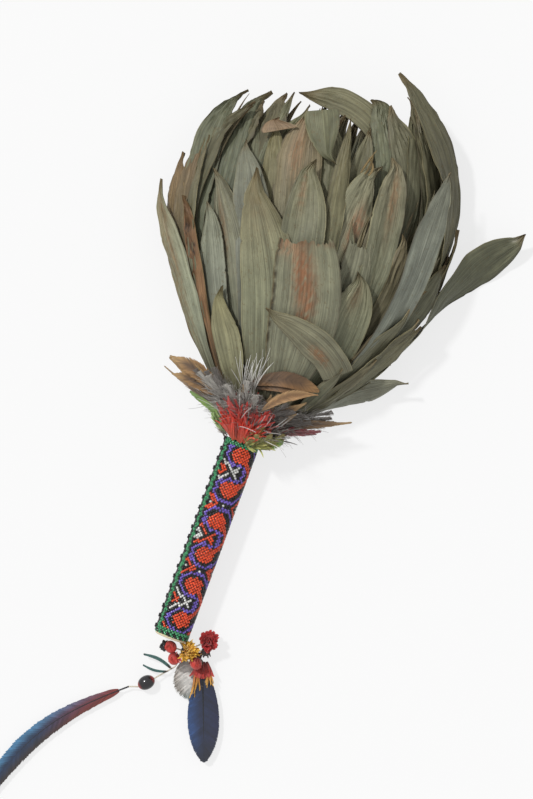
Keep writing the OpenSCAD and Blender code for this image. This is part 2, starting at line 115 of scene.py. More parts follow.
@dataclass
class Surface:
    """Points, quads and point colours of one or more closed shapes."""

    points: Array
    quads: Array
    tint: Array
    place: Array

    @staticmethod
    def joined(parts: list[Surface]) -> Surface:
        """One surface that holds all parts.

        Args:
            parts: Surfaces to join.

        Returns:
            The joined surface.
        """
        start = np.cumsum([0] + [len(p.points) for p in parts[:-1]])
        return Surface(
            np.concatenate([p.points for p in parts]),
            np.concatenate([p.quads + s for p, s in zip(parts, start)]),
            np.concatenate([p.tint for p in parts]),
            np.concatenate([p.place for p in parts]),
        )

    def outward(self) -> Surface:
        """Turns all quads round where their signed volume is negative.

        Returns:
            The surface itself, facing out.
        """
        a, b, c, d = (self.points[self.quads[:, i]] for i in range(4))
        if np.sum(np.cross(c - a, d - b) * (a + b + c + d)) < 0:
            self.quads = self.quads[:, ::-1]
        return self

    def to_object(self, name: str, material: Material, sharp: float = 40) -> Piece:
        """Makes a Blender object at the origin, with its place in its mesh.

        Args:
            name: Piece name.
            material: Finish of the piece.
            sharp: Angle in degrees past which an edge is shaded sharp.

        Returns:
            The new object.
        """
        mesh = bpy.data.meshes.new(name)
        mesh.vertices.add(len(self.points))
        mesh.vertices.foreach_set("co", (self.points * MM).astype(np.float32).ravel())
        mesh.loops.add(self.quads.size)
        mesh.loops.foreach_set("vertex_index", self.quads.astype(np.int32).ravel())
        mesh.polygons.add(len(self.quads))
        mesh.polygons.foreach_set("loop_start", np.arange(0, self.quads.size, 4, dtype=np.int32))
        mesh.update(calc_edges=True)
        mesh.validate()
        for key, kind, field, values in (("tint", "FLOAT_COLOR", "color", self.tint),
                                         ("place", "FLOAT_VECTOR", "vector", self.place)):
            data = mesh.attributes.new(key, kind, "POINT").data
            data.foreach_set(field, values.astype(np.float32).ravel())
        mesh.polygons.foreach_set("use_smooth", np.ones(len(mesh.polygons), bool))
        mesh.set_sharp_from_angle(angle=math.radians(sharp))
        mesh.materials.append(material)
        made = bpy.data.objects.new(name, mesh)
        bpy.context.scene.collection.objects.link(made)
        return made


def loop_quads(rings: int, count: int, closed: bool = False) -> Array:
    """Quads of a tube of closed rings.

    Args:
        rings: Number of rings.
        count: Points in a ring, an even number where the ends are to be capped.
        closed: Whether the last ring joins the first, as in a torus. If not, both ends get flat caps.

    Returns:
        Corner numbers, four to a row, facing out where the rings turn left about the direction of travel.
    """
    i, j = np.meshgrid(np.arange(rings if closed else rings - 1), np.arange(count), indexing="ij")
    a = i * count + j
    b = i * count + (j + 1) % count
    step = (i + 1) % rings * count - i * count
    sides = np.stack([a, b, b + step, a + step], -1).reshape(-1, 4)
    if closed:
        return sides
    k = np.arange(count // 2 - 1)
    cap = np.stack([k, count - 1 - k, count - 2 - k, k + 1], -1)
    return np.concatenate([sides, cap, cap[:, ::-1] + (rings - 1) * count])


def closed_blade(front: Array, back: Array, tint: Array, place: Array) -> Surface:
    """Thin closed shell between two grids of points: front, back, rim and both ends.

    Args:
        front: Outer face, rows by columns by 3.
        back: Inner face in the same order.
        tint: Colours, rows by columns by 4.
        place: Pattern coordinates, rows by columns by 3.

    Returns:
        The shell, whose rings run along the front and back again.
    """

    def ring(a: Array, b: Array) -> Array:
        """Front row, then back row in reverse."""
        return np.concatenate([a, b[:, ::-1]], 1).reshape(-1, a.shape[-1])

    quads = loop_quads(front.shape[0], 2 * front.shape[1])
    return Surface(ring(front, back), quads, ring(tint, tint), ring(place, place))


def tube(path: Array, radius: Array | float, sides: int, tint: Array) -> Surface:
    """Closed round tube along a path.

    Args:
        path: Points along the middle.
        radius: Radius, or the radius at each point.
        sides: Sides of the tube, an even number.
        tint: One colour, or a colour for each point.

    Returns:
        The tube. Its pattern coordinates are the distance round, the distance along and zero.
    """
    tangent = unit(np.gradient(path, axis=0))
    helper = np.where(np.abs(tangent[:, 2:3]) < 0.8, [[0.0, 0.0, 1.0]], [[1.0, 0.0, 0.0]])
    across = unit(np.cross(tangent, helper))
    up = np.cross(across, tangent)
    thick = np.broadcast_to(radius, len(path))[:, None]
    angle = np.arange(sides) * 2 * math.pi / sides
    spoke = across[:, None] * np.cos(angle)[:, None] - up[:, None] * np.sin(angle)[:, None]
    points = path[:, None] + spoke * thick[..., None]
    shade = np.repeat(np.broadcast_to(tint, (len(path), 4)), sides, 0)
    run = np.concatenate([[0], np.cumsum(np.linalg.norm(np.diff(path, axis=0), axis=1))])
    place = np.stack(np.broadcast_arrays(thick * angle, run[:, None], 0.0), -1)
    return Surface(points.reshape(-1, 3), loop_quads(len(path), sides), shade, place.reshape(-1, 3))


def lathe(radius: Array, y: Array, sides: int, tint: Array, closed: bool = False) -> Surface:
    """Shape turned about the handle axis from a profile of radii and places along the handle.

    Args:
        radius: Radius at each profile point, or at each profile point and side.
        y: Place along the handle of each profile point.
        sides: Points in a ring.
        tint: One colour, or a colour for each profile point.
        closed: Whether the profile is a closed loop, as for a tube.

    Returns:
        The turned shape.
    """
    angle = np.arange(sides) * 2 * math.pi / sides
    thick = np.broadcast_to(radius if np.ndim(radius) == 2 else np.asarray(radius)[:, None], (len(y), sides))
    far = np.broadcast_to(np.asarray(y)[:, None], thick.shape)
    points = np.stack([thick * np.sin(angle), far, thick * np.cos(angle)], -1)
    shade = np.repeat(np.broadcast_to(tint, (len(y), 4)), sides, 0)
    place = np.stack([thick * angle, far, 0 * far], -1)
    return Surface(points.reshape(-1, 3), loop_quads(len(y), sides, closed), shade, place.reshape(-1, 3))


def scattered(shape: Surface, centres: Array, axes: Array, tint: Array) -> Surface:
    """Copies of a small shape at many places.

    Args:
        shape: Shape about the origin.
        centres: Place of each copy.
        axes: Three unit vectors for each copy, as rows, to which x, y and z of the shape go.
        tint: Colour of each copy.

    Returns:
        One surface with every copy.
    """
    count = len(shape.points)
    points = centres[:, None] + np.einsum("pk,nkd->npd", shape.points, axes)
    quads = shape.quads[None] + (np.arange(len(centres)) * count)[:, None, None]
    place = np.tile(shape.place, (len(centres), 1))
    return Surface(points.reshape(-1, 3), quads.reshape(-1, 4), np.repeat(tint, count, 0), place)


def strips(line: Array, flat: Array, thin: Array, tint: Array, place: Array) -> Surface:
    """Flat closed strips of four sides, one to a row: line plus and minus half a width and half a thickness.

    Args:
        line: Middle of each strip, strips by points by 3.
        flat: Half a width across, in the same shape.
        thin: Half a thickness.
        tint: Colours, strips by points by 4.
        place: Pattern coordinates, strips by points by 3.

    Returns:
        One surface with every strip.
    """
    count, points = line.shape[:2]
    rings = np.stack([line + flat + thin, line + flat - thin, line - flat - thin, line - flat + thin], 2)
    quads = loop_quads(points, 4)[None] + (np.arange(count) * points * 4)[:, None, None]
    tint, place = (np.repeat(field[:, :, None], 4, 2) for field in (tint, place))
    return Surface(rings.reshape(-1, 3), quads.reshape(-1, 4), tint.reshape(-1, 4), place.reshape(-1, 3))


def add_node(tree: Tree, kind: str, inputs: dict | None = None, **settings: object) -> Node:
    """Adds a shader node with its settings and links.

    Args:
        tree: Node tree of a material or a world.
        kind: Node type.
        inputs: Socket name or number to a value, or to the socket that feeds it.
        settings: Properties of the node.

    Returns:
        The new node.
    """
    node = tree.nodes.new(kind)
    for key, value in settings.items():
        setattr(node, key, value)
    for key, value in (inputs or {}).items():
        if isinstance(value, Socket):
            tree.links.new(value, node.inputs[key])
        else:
            node.inputs[key].default_value = value
    return node


def new_material(name: str) -> tuple[Material, Tree, Node]:
    """Makes a material with a bare Principled shader.

    Args:
        name: Material name.

    Returns:
        The material, its tree and the shader.
    """
    made = bpy.data.materials.new(name)
    made.use_nodes = True
    tree = made.node_tree
    tree.nodes.clear()
    shader = add_node(tree, "ShaderNodeBsdfPrincipled")
    add_node(tree, "ShaderNodeOutputMaterial", {"Surface": shader.outputs["BSDF"]})
    return made, tree, shader


def grain(tree: Tree, where: Socket, size: Point, levels: Range, detail: float = 2.0, weight: float = 0.5,
          span: Range = (0.3, 0.7)) -> tuple[Socket, Socket]:
    """Adds an uneven pattern: noise on coordinates over a real size, spread between two levels.

    Args:
        tree: Node tree of the material.
        where: Socket of the coordinates.
        size: Size of a bump along each of them.
        levels: Values at the low and the high end of the span.
        detail: Number of finer layers of noise.
        weight: How strong the finer layers are.
        span: Part of the noise that is spread between the levels.

    Returns:
        Sockets of the noise itself and of the spread pattern.
    """
    scaled = add_node(tree, "ShaderNodeVectorMath", {0: where, 1: tuple(1 / x for x in size)},
                      operation="MULTIPLY")
    noise = add_node(tree, "ShaderNodeTexNoise", {"Vector": scaled.outputs[0], "Scale": 1, "Detail": detail,
                                                  "Roughness": weight}).outputs["Fac"]
    spread = add_node(tree, "ShaderNodeMapRange",
                      {0: noise, 1: span[0], 2: span[1], 3: levels[0], 4: levels[1]})
    return noise, spread.outputs[0]


@dataclass(frozen=True)
class Finish:
    """What the finishes share: the piece's own tint, lighter and darker with a pattern of the material."""

    name: str
    rough: float = 0.6

    def material(self) -> Material:
        """Builds the material from the piece's own tint and its own place on the surface.

        Returns:
            The material.
        """
        made, tree, shader = new_material(self.name)
        shader.inputs["Roughness"].default_value = self.rough
        tint = add_node(tree, "ShaderNodeAttribute", attribute_name="tint").outputs["Color"]
        place = add_node(tree, "ShaderNodeAttribute", attribute_name="place").outputs["Vector"]
        shade = self.pattern(tree, shader, place)
        colour = add_node(tree, "ShaderNodeMix", {0: 1.0, 6: tint, 7: shade}, data_type="RGBA",
                          blend_type="MULTIPLY")
        tree.links.new(self.marked(tree, place, colour.outputs[2]), shader.inputs["Base Color"])
        return made

    def pattern(self, tree: Tree, shader: Node, place: Socket) -> Socket:
        """Brightness of the material's own pattern."""
        raise NotImplementedError

    def marked(self, tree: Tree, place: Socket, colour: Socket) -> Socket:
        """Colour with marks over it, where the material has any."""
        return colour


@dataclass(frozen=True)
class DriedLeaf(Finish):
    """Air-dried broad leaf: dull, with fine ribs along it that catch the light, mottling and brown specks.

    The ribs are drawn a little coarser than real ones so that they show in the picture.
    """

    name: str = "dried_leaf"
    rough: float = 0.62
    rib: Point = (0.72, 70.0, 1.0)
    band: Point = (0.72 / 0.22, 70.0 / 0.6, 1.0)
    cloud: Point = (7.0, 14.0, 1.0)
    speck: Point = (1.7, 1.7 / 0.6, 1.0)
    speck_colour: str = "#655537"
    relief: float = 0.22
    bump: float = 0.7
    rib_shade: Range = (0.62, 1.28)
    band_shade: Range = (0.93, 1.06)
    cloud_shade: Range = (0.8, 1.2)
    speck_shade: Range = (0.0, 0.6)
    speck_span: Range = (0.57, 0.69)
    gloss_change: float = 0.08
    specular: float = 0.35

    def pattern(self, tree: Tree, shader: Node, place: Socket) -> Socket:
        """Ribs times broad bands times mottling; the ribs also change the gloss and stand up a little.

        Args:
            tree: Node tree of the material.
            shader: Its Principled shader.
            place: Socket of the place on the blade.

        Returns:
            Socket of the brightness.
        """
        ribs, fine = grain(tree, place, self.rib, self.rib_shade, detail=2.5, weight=0.6)
        broad = grain(tree, place, self.band, self.band_shade)[1]
        patchy = grain(tree, place, self.cloud, self.cloud_shade, detail=5, weight=0.65)[1]
        most, least = self.rough + self.gloss_change, self.rough - self.gloss_change
        dull = add_node(tree, "ShaderNodeMapRange", {0: ribs, 1: 0.3, 2: 0.7, 3: most, 4: least})
        tree.links.new(dull.outputs[0], shader.inputs["Roughness"])
        shader.inputs["Specular IOR Level"].default_value = self.specular
        bump = add_node(tree, "ShaderNodeBump",
                        {"Strength": self.bump, "Distance": self.relief * MM, "Height": ribs})
        tree.links.new(bump.outputs[0], shader.inputs["Normal"])
        lined = add_node(tree, "ShaderNodeMath", {0: fine, 1: broad}, operation="MULTIPLY").outputs[0]
        return add_node(tree, "ShaderNodeMath", {0: lined, 1: patchy}, operation="MULTIPLY").outputs[0]

    def marked(self, tree: Tree, place: Socket, colour: Socket) -> Socket:
        """Colour with brown specks over it."""
        spots = grain(tree, place, self.speck, self.speck_shade, 4, 0.7, self.speck_span)[1]
        return add_node(tree, "ShaderNodeMix", {0: spots, 6: colour, 7: linear(self.speck_colour)},
                        data_type="RGBA").outputs[2]


@dataclass(frozen=True)
class Plumage(Finish):
    """Feather: barbs with a soft sheen along them and small light and dark streaks."""

    rough: float = 0.55
    sheen: float = 0.25
    streak: Point = (0.9, 4.5, 1.0)
    shade: Range = (0.75, 1.2)

    def pattern(self, tree: Tree, shader: Node, place: Socket) -> Socket:
        """Streaks along each barb."""
        shader.inputs["Sheen Weight"].default_value = self.sheen
        return grain(tree, place, self.streak, self.shade)[1]


@dataclass(frozen=True)
class Grained(Finish):
    """Plain fibrous material whose tint varies with a fine grain: thread, cloth, cut stalk or cord."""

    rough: float = 0.8
    fibre: Point = (0.6, 0.6, 1.0)
    relief: float = 0.1
    depth: float = 0.25
    bump: float = 0.6

    def pattern(self, tree: Tree, shader: Node, place: Socket) -> Socket:
        """Fine grain that also stands up a little.

        Args:
            tree: Node tree of the material.
            shader: Its Principled shader.
            place: Socket of the place on the piece.

        Returns:
            Socket of the brightness.
        """
        noise, shade = grain(tree, place, self.fibre, (1 - self.depth, 1 + self.depth), detail=3)
        bump = add_node(tree, "ShaderNodeBump",
                        {"Strength": self.bump, "Distance": self.relief * MM, "Height": noise})
        tree.links.new(bump.outputs[0], shader.inputs["Normal"])
        return shade


@dataclass(frozen=True)
class GlassBead(Finish):
    """Opaque pressed glass: a hard gloss, with a slight change of colour from bead to bead."""

    rough: float = 0.16
    ior: float = 1.52
    change: float = 1.75 / 2.2
    shade: Range = (0.85, 1.12)

    def pattern(self, tree: Tree, shader: Node, place: Socket) -> Socket:
        """Slight change from place to place, over less than the width of a bead."""
        shader.inputs["IOR"].default_value = self.ior
        where = add_node(tree, "ShaderNodeTexCoord").outputs["Object"]
        return grain(tree, where, (self.change * MM,) * 3, self.shade, detail=1)[1]


def settle(made: Piece, body: str, slot: str, *nodes: str) -> Piece:
    """Rides a piece on its body and hides the solids that it stands for.

    Args:
        made: The piece.
        body: CAD body that it moves with.
        slot: Material slot of the record. Not used.
        nodes: CAD nodes that it stands for.

    Returns:
        The piece.
    """
    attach(made, body)
    if nodes:
        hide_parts(*nodes)
    LOG.info("%s rides on %s with %d faces", made.name, body, len(made.data.polygons))
    return made


@dataclass(frozen=True)
class HeadShape:
    """Egg-shaped shells, one inside the other, on which the leaves lie."""

    neck_y: float = 86.0
    leaf_y: float = 104.0
    length: float = 260.0
    half_width: float = 101.0
    over: float = 60.0
    under: float = 13.2
    neck: float = 13.0
    crown_width: float = 40.0
    crown_over: float = 26.0
    lean: float = -8.0
    peak: float = 0.55
    rise: float = 1.8
    fall: float = 2.6

    def swell(self, t: Array, neck: float, most: float, crown: float) -> Array:
        """Outline that rises from neck to most at the widest place, then falls to crown, by power laws.

        Args:
            t: Share along the head.
            neck: Size at the neck.
            most: Size at the widest place.
            crown: Size at the crown.

        Returns:
            The size at each share.
        """
        rising = neck + (most - neck) * (1 - np.clip(1 - t / self.peak, 0, 1) ** self.rise)
        past = np.clip((t - self.peak) / (1 - self.peak), 0, 1.3)
        return np.where(t < self.peak, rising, most - (most - crown) * past ** self.fall)

    def lean_at(self, y: Array) -> Array:
        """Sideways lean at a place along the handle: a quarter of a sine wave over the head's first half."""
        return self.lean * np.sin(math.pi / 2 * np.clip((y - self.neck_y) / self.length / 0.5, 0, 1))

    def shell(self, turn: Array, y: Array, layer: float) -> Array:
        """Point of a layer: half an ellipse above the axis and a flatter one below it.

        Args:
            turn: Angle from the top in degrees, positive to the right.
            y: Place along the handle.
            layer: Share of the full size.

        Returns:
            Points, in the shape of turn with a last axis of 3.
        """
        t = (y - self.neck_y) / self.length
        f = np.radians(turn)
        wide = self.swell(t, self.neck, self.half_width, self.crown_width)
        above = self.swell(t, self.neck, self.over, self.crown_over)
        below = self.swell(t, self.under - 1.2, self.under, self.under - 2)
        tall = np.where(np.cos(f) > 0, above, below)
        x = self.lean_at(y) + layer * wide * np.sin(f)
        return np.stack(np.broadcast_arrays(x, y, layer * tall * np.cos(f)), -1)


HEAD = HeadShape()


def bend(u: Array, start: float, middle: float, end: float) -> Array:
    """Quadratic curve that passes start, middle and end at u = 0, 0.5 and 1."""
    control = 2 * middle - (start + end) / 2
    return (1 - u) ** 2 * start + 2 * u * (1 - u) * control + u * u * end


@dataclass(frozen=True)
class Stain:
    """Patch of colour on a leaf: its middle along and across, its spread both ways, its colour and strength.
    Most are dried patches; one on the centre leaf is a painted shadow line and one on the outlier a painted
    highlight.
    """

    along: float
    across: float
    reach: float
    spread: float
    colour: str = "#92704f"
    strength: float = 0.85


@dataclass(frozen=True)
class Leaf:
    """One leaf laid on a layer of the head, from the tied bases to its tip."""

    layer: float
    foot: float
    middle: float
    middle_reach: float
    tip: float
    tip_reach: float
    width: float
    kept: float = 1.0
    fold: float = 0.05
    lift: float = 0.0
    roll: float = 0.0
    peak: float = 0.5
    tone: str = "#7b7a62"
    tip_tone: str = "#7d7558"
    stains: tuple[Stain, ...] = ()
    curl: float = 0.0
    start: float = HEAD.leaf_y
    foot_share: float = 0.34
    crush: float = 1.8
    seed: int = 0

    THICK = 0.4
    FLOOR = -13.9
    TEARS = 3
    CREASES = 3
    PLEAT = 6.5
    PLEAT_HEIGHT = 0.05
    BUCKLE = (60.0, 34.0)
    BUCKLE_HEIGHT = 0.4
    CRUMPLE = (30.0, 11.0)
    EDGE_WAVE = 38.0
    EDGE_HEIGHT = 0.7
    STREAK_SHADE = 0.045
    CLOUD_SHADE = 0.07
    PALE_RIM = "#a3966a"
    # Dark brown margin with a painted shadow line along it.
    DARK_RIM_AND_SHADOW = "#43392a"
    BROWN_TIP = "#7a6344"
    # Painted shade at the foot of each tied leaf, towards the binding.
    PAINTED_FOOT_SHADE = "#453f2f"

    @staticmethod
    def straight(layer: float, turn: float, reach: float, width: float, tone: str, seed: int) -> Leaf:
        """Plain leaf inside or under the head, which keeps its angle."""
        return Leaf(layer, turn, turn, 104.0, turn, reach, width, fold=0.03, peak=0.68, tone=tone,
                    tip_tone=tone, seed=seed)

    def half_width(self, u: Array) -> Array:
        """Half the blade's width: a sine rise to the widest place, then a rounded fall to a point.

        Args:
            u: Share along the leaf.

        Returns:
            Millimetres from the middle line to the margin.
        """
        rise = np.sin(math.pi / 2 * np.clip(u / self.peak, 0, 1)) ** 0.9
        rise = self.foot_share + (1 - self.foot_share) * rise
        past = np.clip((u - self.peak) / (1 - self.peak), 0, 1) ** 1.25
        fall = 0.02 + 0.98 * np.clip(np.cos(math.pi / 2 * past), 0, 1) ** 1.2
        return self.width / 2 * np.where(u < self.peak, rise, fall)

    def angle(self, u: Array) -> Array:
        """Angle round the head at share u of the leaf."""
        return bend(u, self.foot, self.middle, self.tip)

    def reach(self, u: Array) -> Array:
        """Place along the handle at share u of the leaf."""
        return bend(u, self.start, HEAD.neck_y + self.middle_reach, HEAD.neck_y + self.tip_reach)

    def spine(self, u: Array) -> Array:
        """Middle line of the leaf on its layer, with its tip lifted outwards."""
        f = np.radians(self.angle(u))
        out = unit(np.stack(np.broadcast_arrays(np.sin(f), 0.0, np.clip(np.cos(f), 0, None)), -1) + 1e-9)
        lifted = self.lift * np.clip((u - 0.5) / 0.5, 0, 1) ** 1.3
        return HEAD.shell(self.angle(u), self.reach(u), self.layer) + out * lifted[..., None]

    def outline(self, u: Array, v: Array, rng: Random) -> Array:
        """Distance across the blade: its tip leans to one side and its margins have slow waves and tears.

        Args:
            u: Share along the leaf.
            v: Share across it, from -1 to 1.
            rng: Seeded source of the waves and tears.

        Returns:
            Millimetres from the middle line.
        """
        half = self.half_width(u)
        past = np.clip((u - self.peak) / (1 - self.peak), 0, 1)
        lean = rng.uniform(0.15, 0.5) * rng.choice([-1, 1]) * self.width / 2 * past ** 1.5
        side = np.sign(v)
        margin = 1 + 0.03 * ripple(rng, 2.0 * u, side * 3, 5) + 0.004 * ripple(rng, 14 * u, side * 5, 5)
        for _ in range(self.TEARS):
            at, deep, long = rng.uniform(0.45, 0.97), rng.uniform(0.02, 0.1), rng.uniform(0.006, 0.02)
            margin = margin - deep * np.clip(1 - np.abs(u - at) / long, 0, 1) * (side == rng.choice([-1, 1]))
        curled = self.curl * np.clip((u - 0.7) / 0.3, 0, 1) ** 2
        return half * v * margin + lean * np.clip(half / self.width * 6, 0, 1) + curled

    def relief(self, u: Array, v: Array, length: float, rng: Random) -> Array:
        """Height of the blade off its layer: fold, creases, pleats, buckles, and crumpled edges and tip.

        Args:
            u: Share along the leaf.
            v: Share across it, from -1 to 1.
            length: Length of the leaf in millimetres.
            rng: Seeded source of the creases and waves.

        Returns:
            Millimetres along the normal.
        """
        half = self.half_width(u)
        ease = ramp(u, 0.0, 0.2)
        height = self.fold * half * np.sqrt(v * v + 0.004)
        for _ in range(self.CREASES):
            at, steep = rng.uniform(-0.8, 0.8), rng.uniform(-0.13, 0.13)
            height = height + ease * steep * half * np.abs(v - at - 0.25 * (u - 0.5))
        run, wide = u * length, v * self.width
        pleats = self.PLEAT_HEIGHT * np.sin(TURN * (wide / self.PLEAT + rng.uniform()))
        buckle = self.BUCKLE_HEIGHT * ripple(rng, run / self.BUCKLE[0], wide / self.BUCKLE[1])
        crumple = np.abs(ripple(rng, run / self.CRUMPLE[0], wide / self.CRUMPLE[1])) - 0.6
        crumple = self.crush * (0.16 + 0.2 * ramp(u, 0.55, 1.0)) * crumple
        edge = self.EDGE_HEIGHT * np.abs(v) ** 3 * ripple(rng, run / self.EDGE_WAVE, np.sign(v) * 2.3, 5)
        turned = rng.uniform(0.02, 0.1) * self.width * ramp(v * rng.choice([-1, 1]), 0.6, 1.0) * ramp(u, 0.3,
                                                                                                      0.7)
        return height + ease * (pleats + buckle + crumple + edge + turned)

    def blade(self, rows: int = 84, columns: int = 33) -> Surface:
        """Closed blade: spine, plus side times distance across, plus normal times relief.

        Args:
            rows: Points along the leaf.
            columns: Points across it.

        Returns:
            The blade, with its colours.
        """
        rng = np.random.default_rng(self.seed + 17)
        s, v = np.meshgrid(np.linspace(0, 1, rows), np.linspace(-1, 1, columns), indexing="ij")
        torn = 0.012 * ripple(rng, 1.3 * v, 0 * v, 4) + 0.008 * ripple(rng, 7 * v, 0 * v, 5)
        u = s * (self.kept + (torn if self.kept < 1 else 0 * v))
        tangent = unit(self.spine(u + 1e-3) - self.spine(u - 1e-3))
        f, y = self.angle(u), self.reach(u)
        around = HEAD.shell(f + 0.2, y, self.layer) - HEAD.shell(f - 0.2, y, self.layer)
        along = HEAD.shell(f, y + 0.2, self.layer) - HEAD.shell(f, y - 0.2, self.layer)
        out = unit(np.cross(along, around))
        out = unit(out - tangent * np.sum(out * tangent, -1, keepdims=True))
        side = np.cross(tangent, out)
        roll = np.radians(self.roll * np.clip(u / 0.7, 0, 1))[..., None]
        across = side * np.cos(roll) + out * np.sin(roll)
        normal = out * np.cos(roll) - side * np.sin(roll)
        length = np.linalg.norm(self.spine(np.array([1.0])) - self.spine(np.array([0.0])))
        shift = self.outline(u, v, rng)
        middle = self.spine(u) + across * shift[..., None] + normal * self.relief(u, v, length, rng)[...,
                                                                                                     None]
        lower = normal * (self.THICK / 2)
        front, back = middle + lower, middle - lower
        front[..., 2] = np.maximum(front[..., 2], self.FLOOR + self.THICK)
        back[..., 2] = np.maximum(back[..., 2], self.FLOOR)
        if self.start == HEAD.leaf_y:
            front[0, :, 1] = back[0, :, 1] = HEAD.leaf_y
        place = np.stack([v * self.width / 2, u * length, np.full_like(v, self.seed * 7.3)], -1)
        return closed_blade(front, back, self.tint(u, v, rng), place)

    def tint(self, u: Array, v: Array, rng: Random) -> Array:
        """Colours of the blade: tone to tip tone, streaks, stains, a pale rim and a dark rim that is partly
        painted shadow, a brown tip, and painted shade at the foot.

        Args:
            u: Share along the leaf.
            v: Share across it, from -1 to 1.
            rng: Seeded source of the streaks.

        Returns:
            Linear colours, in the shape of u with a last axis of 4.
        """
        colour = mix(linear(self.tone), linear(self.tip_tone), ramp(u, 0.35, 1.0) * 0.7)
        streak = ripple(rng, v * self.width / 7, u * 0.5, 6)
        cloud = ripple(rng, u * 2.5, v * 1.1, 6)
        colour = colour * (1 + self.STREAK_SHADE * streak + self.CLOUD_SHADE * cloud)[..., None]
        for stain in self.stains:
            near = np.exp(-((u - stain.along) / stain.reach) ** 2 - ((v - stain.across) / stain.spread) ** 2)
            speck = 0.75 + 0.45 * ripple(rng, v * self.width / 5, u * 22, 7)
            near = np.clip(near * (1 + 0.3 * streak + 0.2 * cloud) * speck * 1.3, 0, 1)
            colour = mix(colour, linear(stain.colour), near * stain.strength)
        worn = rng.choice([-1, 1])
        colour = mix(colour, linear(self.PALE_RIM), 0.3 * ramp(v * worn, 0.92, 1.0))
        # The dark rim on the other margin is partly the brown edge and partly a painted shadow line along
        # it.
        colour = mix(colour, linear(self.DARK_RIM_AND_SHADOW), 0.7 * ramp(-v * worn, 0.92, 1.0))
        colour = mix(colour, linear(self.BROWN_TIP), 0.5 * ramp(u, 0.9, 1.0))
        # Painted shade: the foot of a tied leaf darkens towards the binding.
        foot = (1 - ramp(u, 0.02, 0.3)) * np.clip(0.6 + 0.35 * streak, 0, 1) * (self.start == HEAD.leaf_y)
        colour = mix(colour, linear(self.PAINTED_FOOT_SHADE), foot)
        colour[..., 3] = 1
        return np.clip(colour, 0, 1)


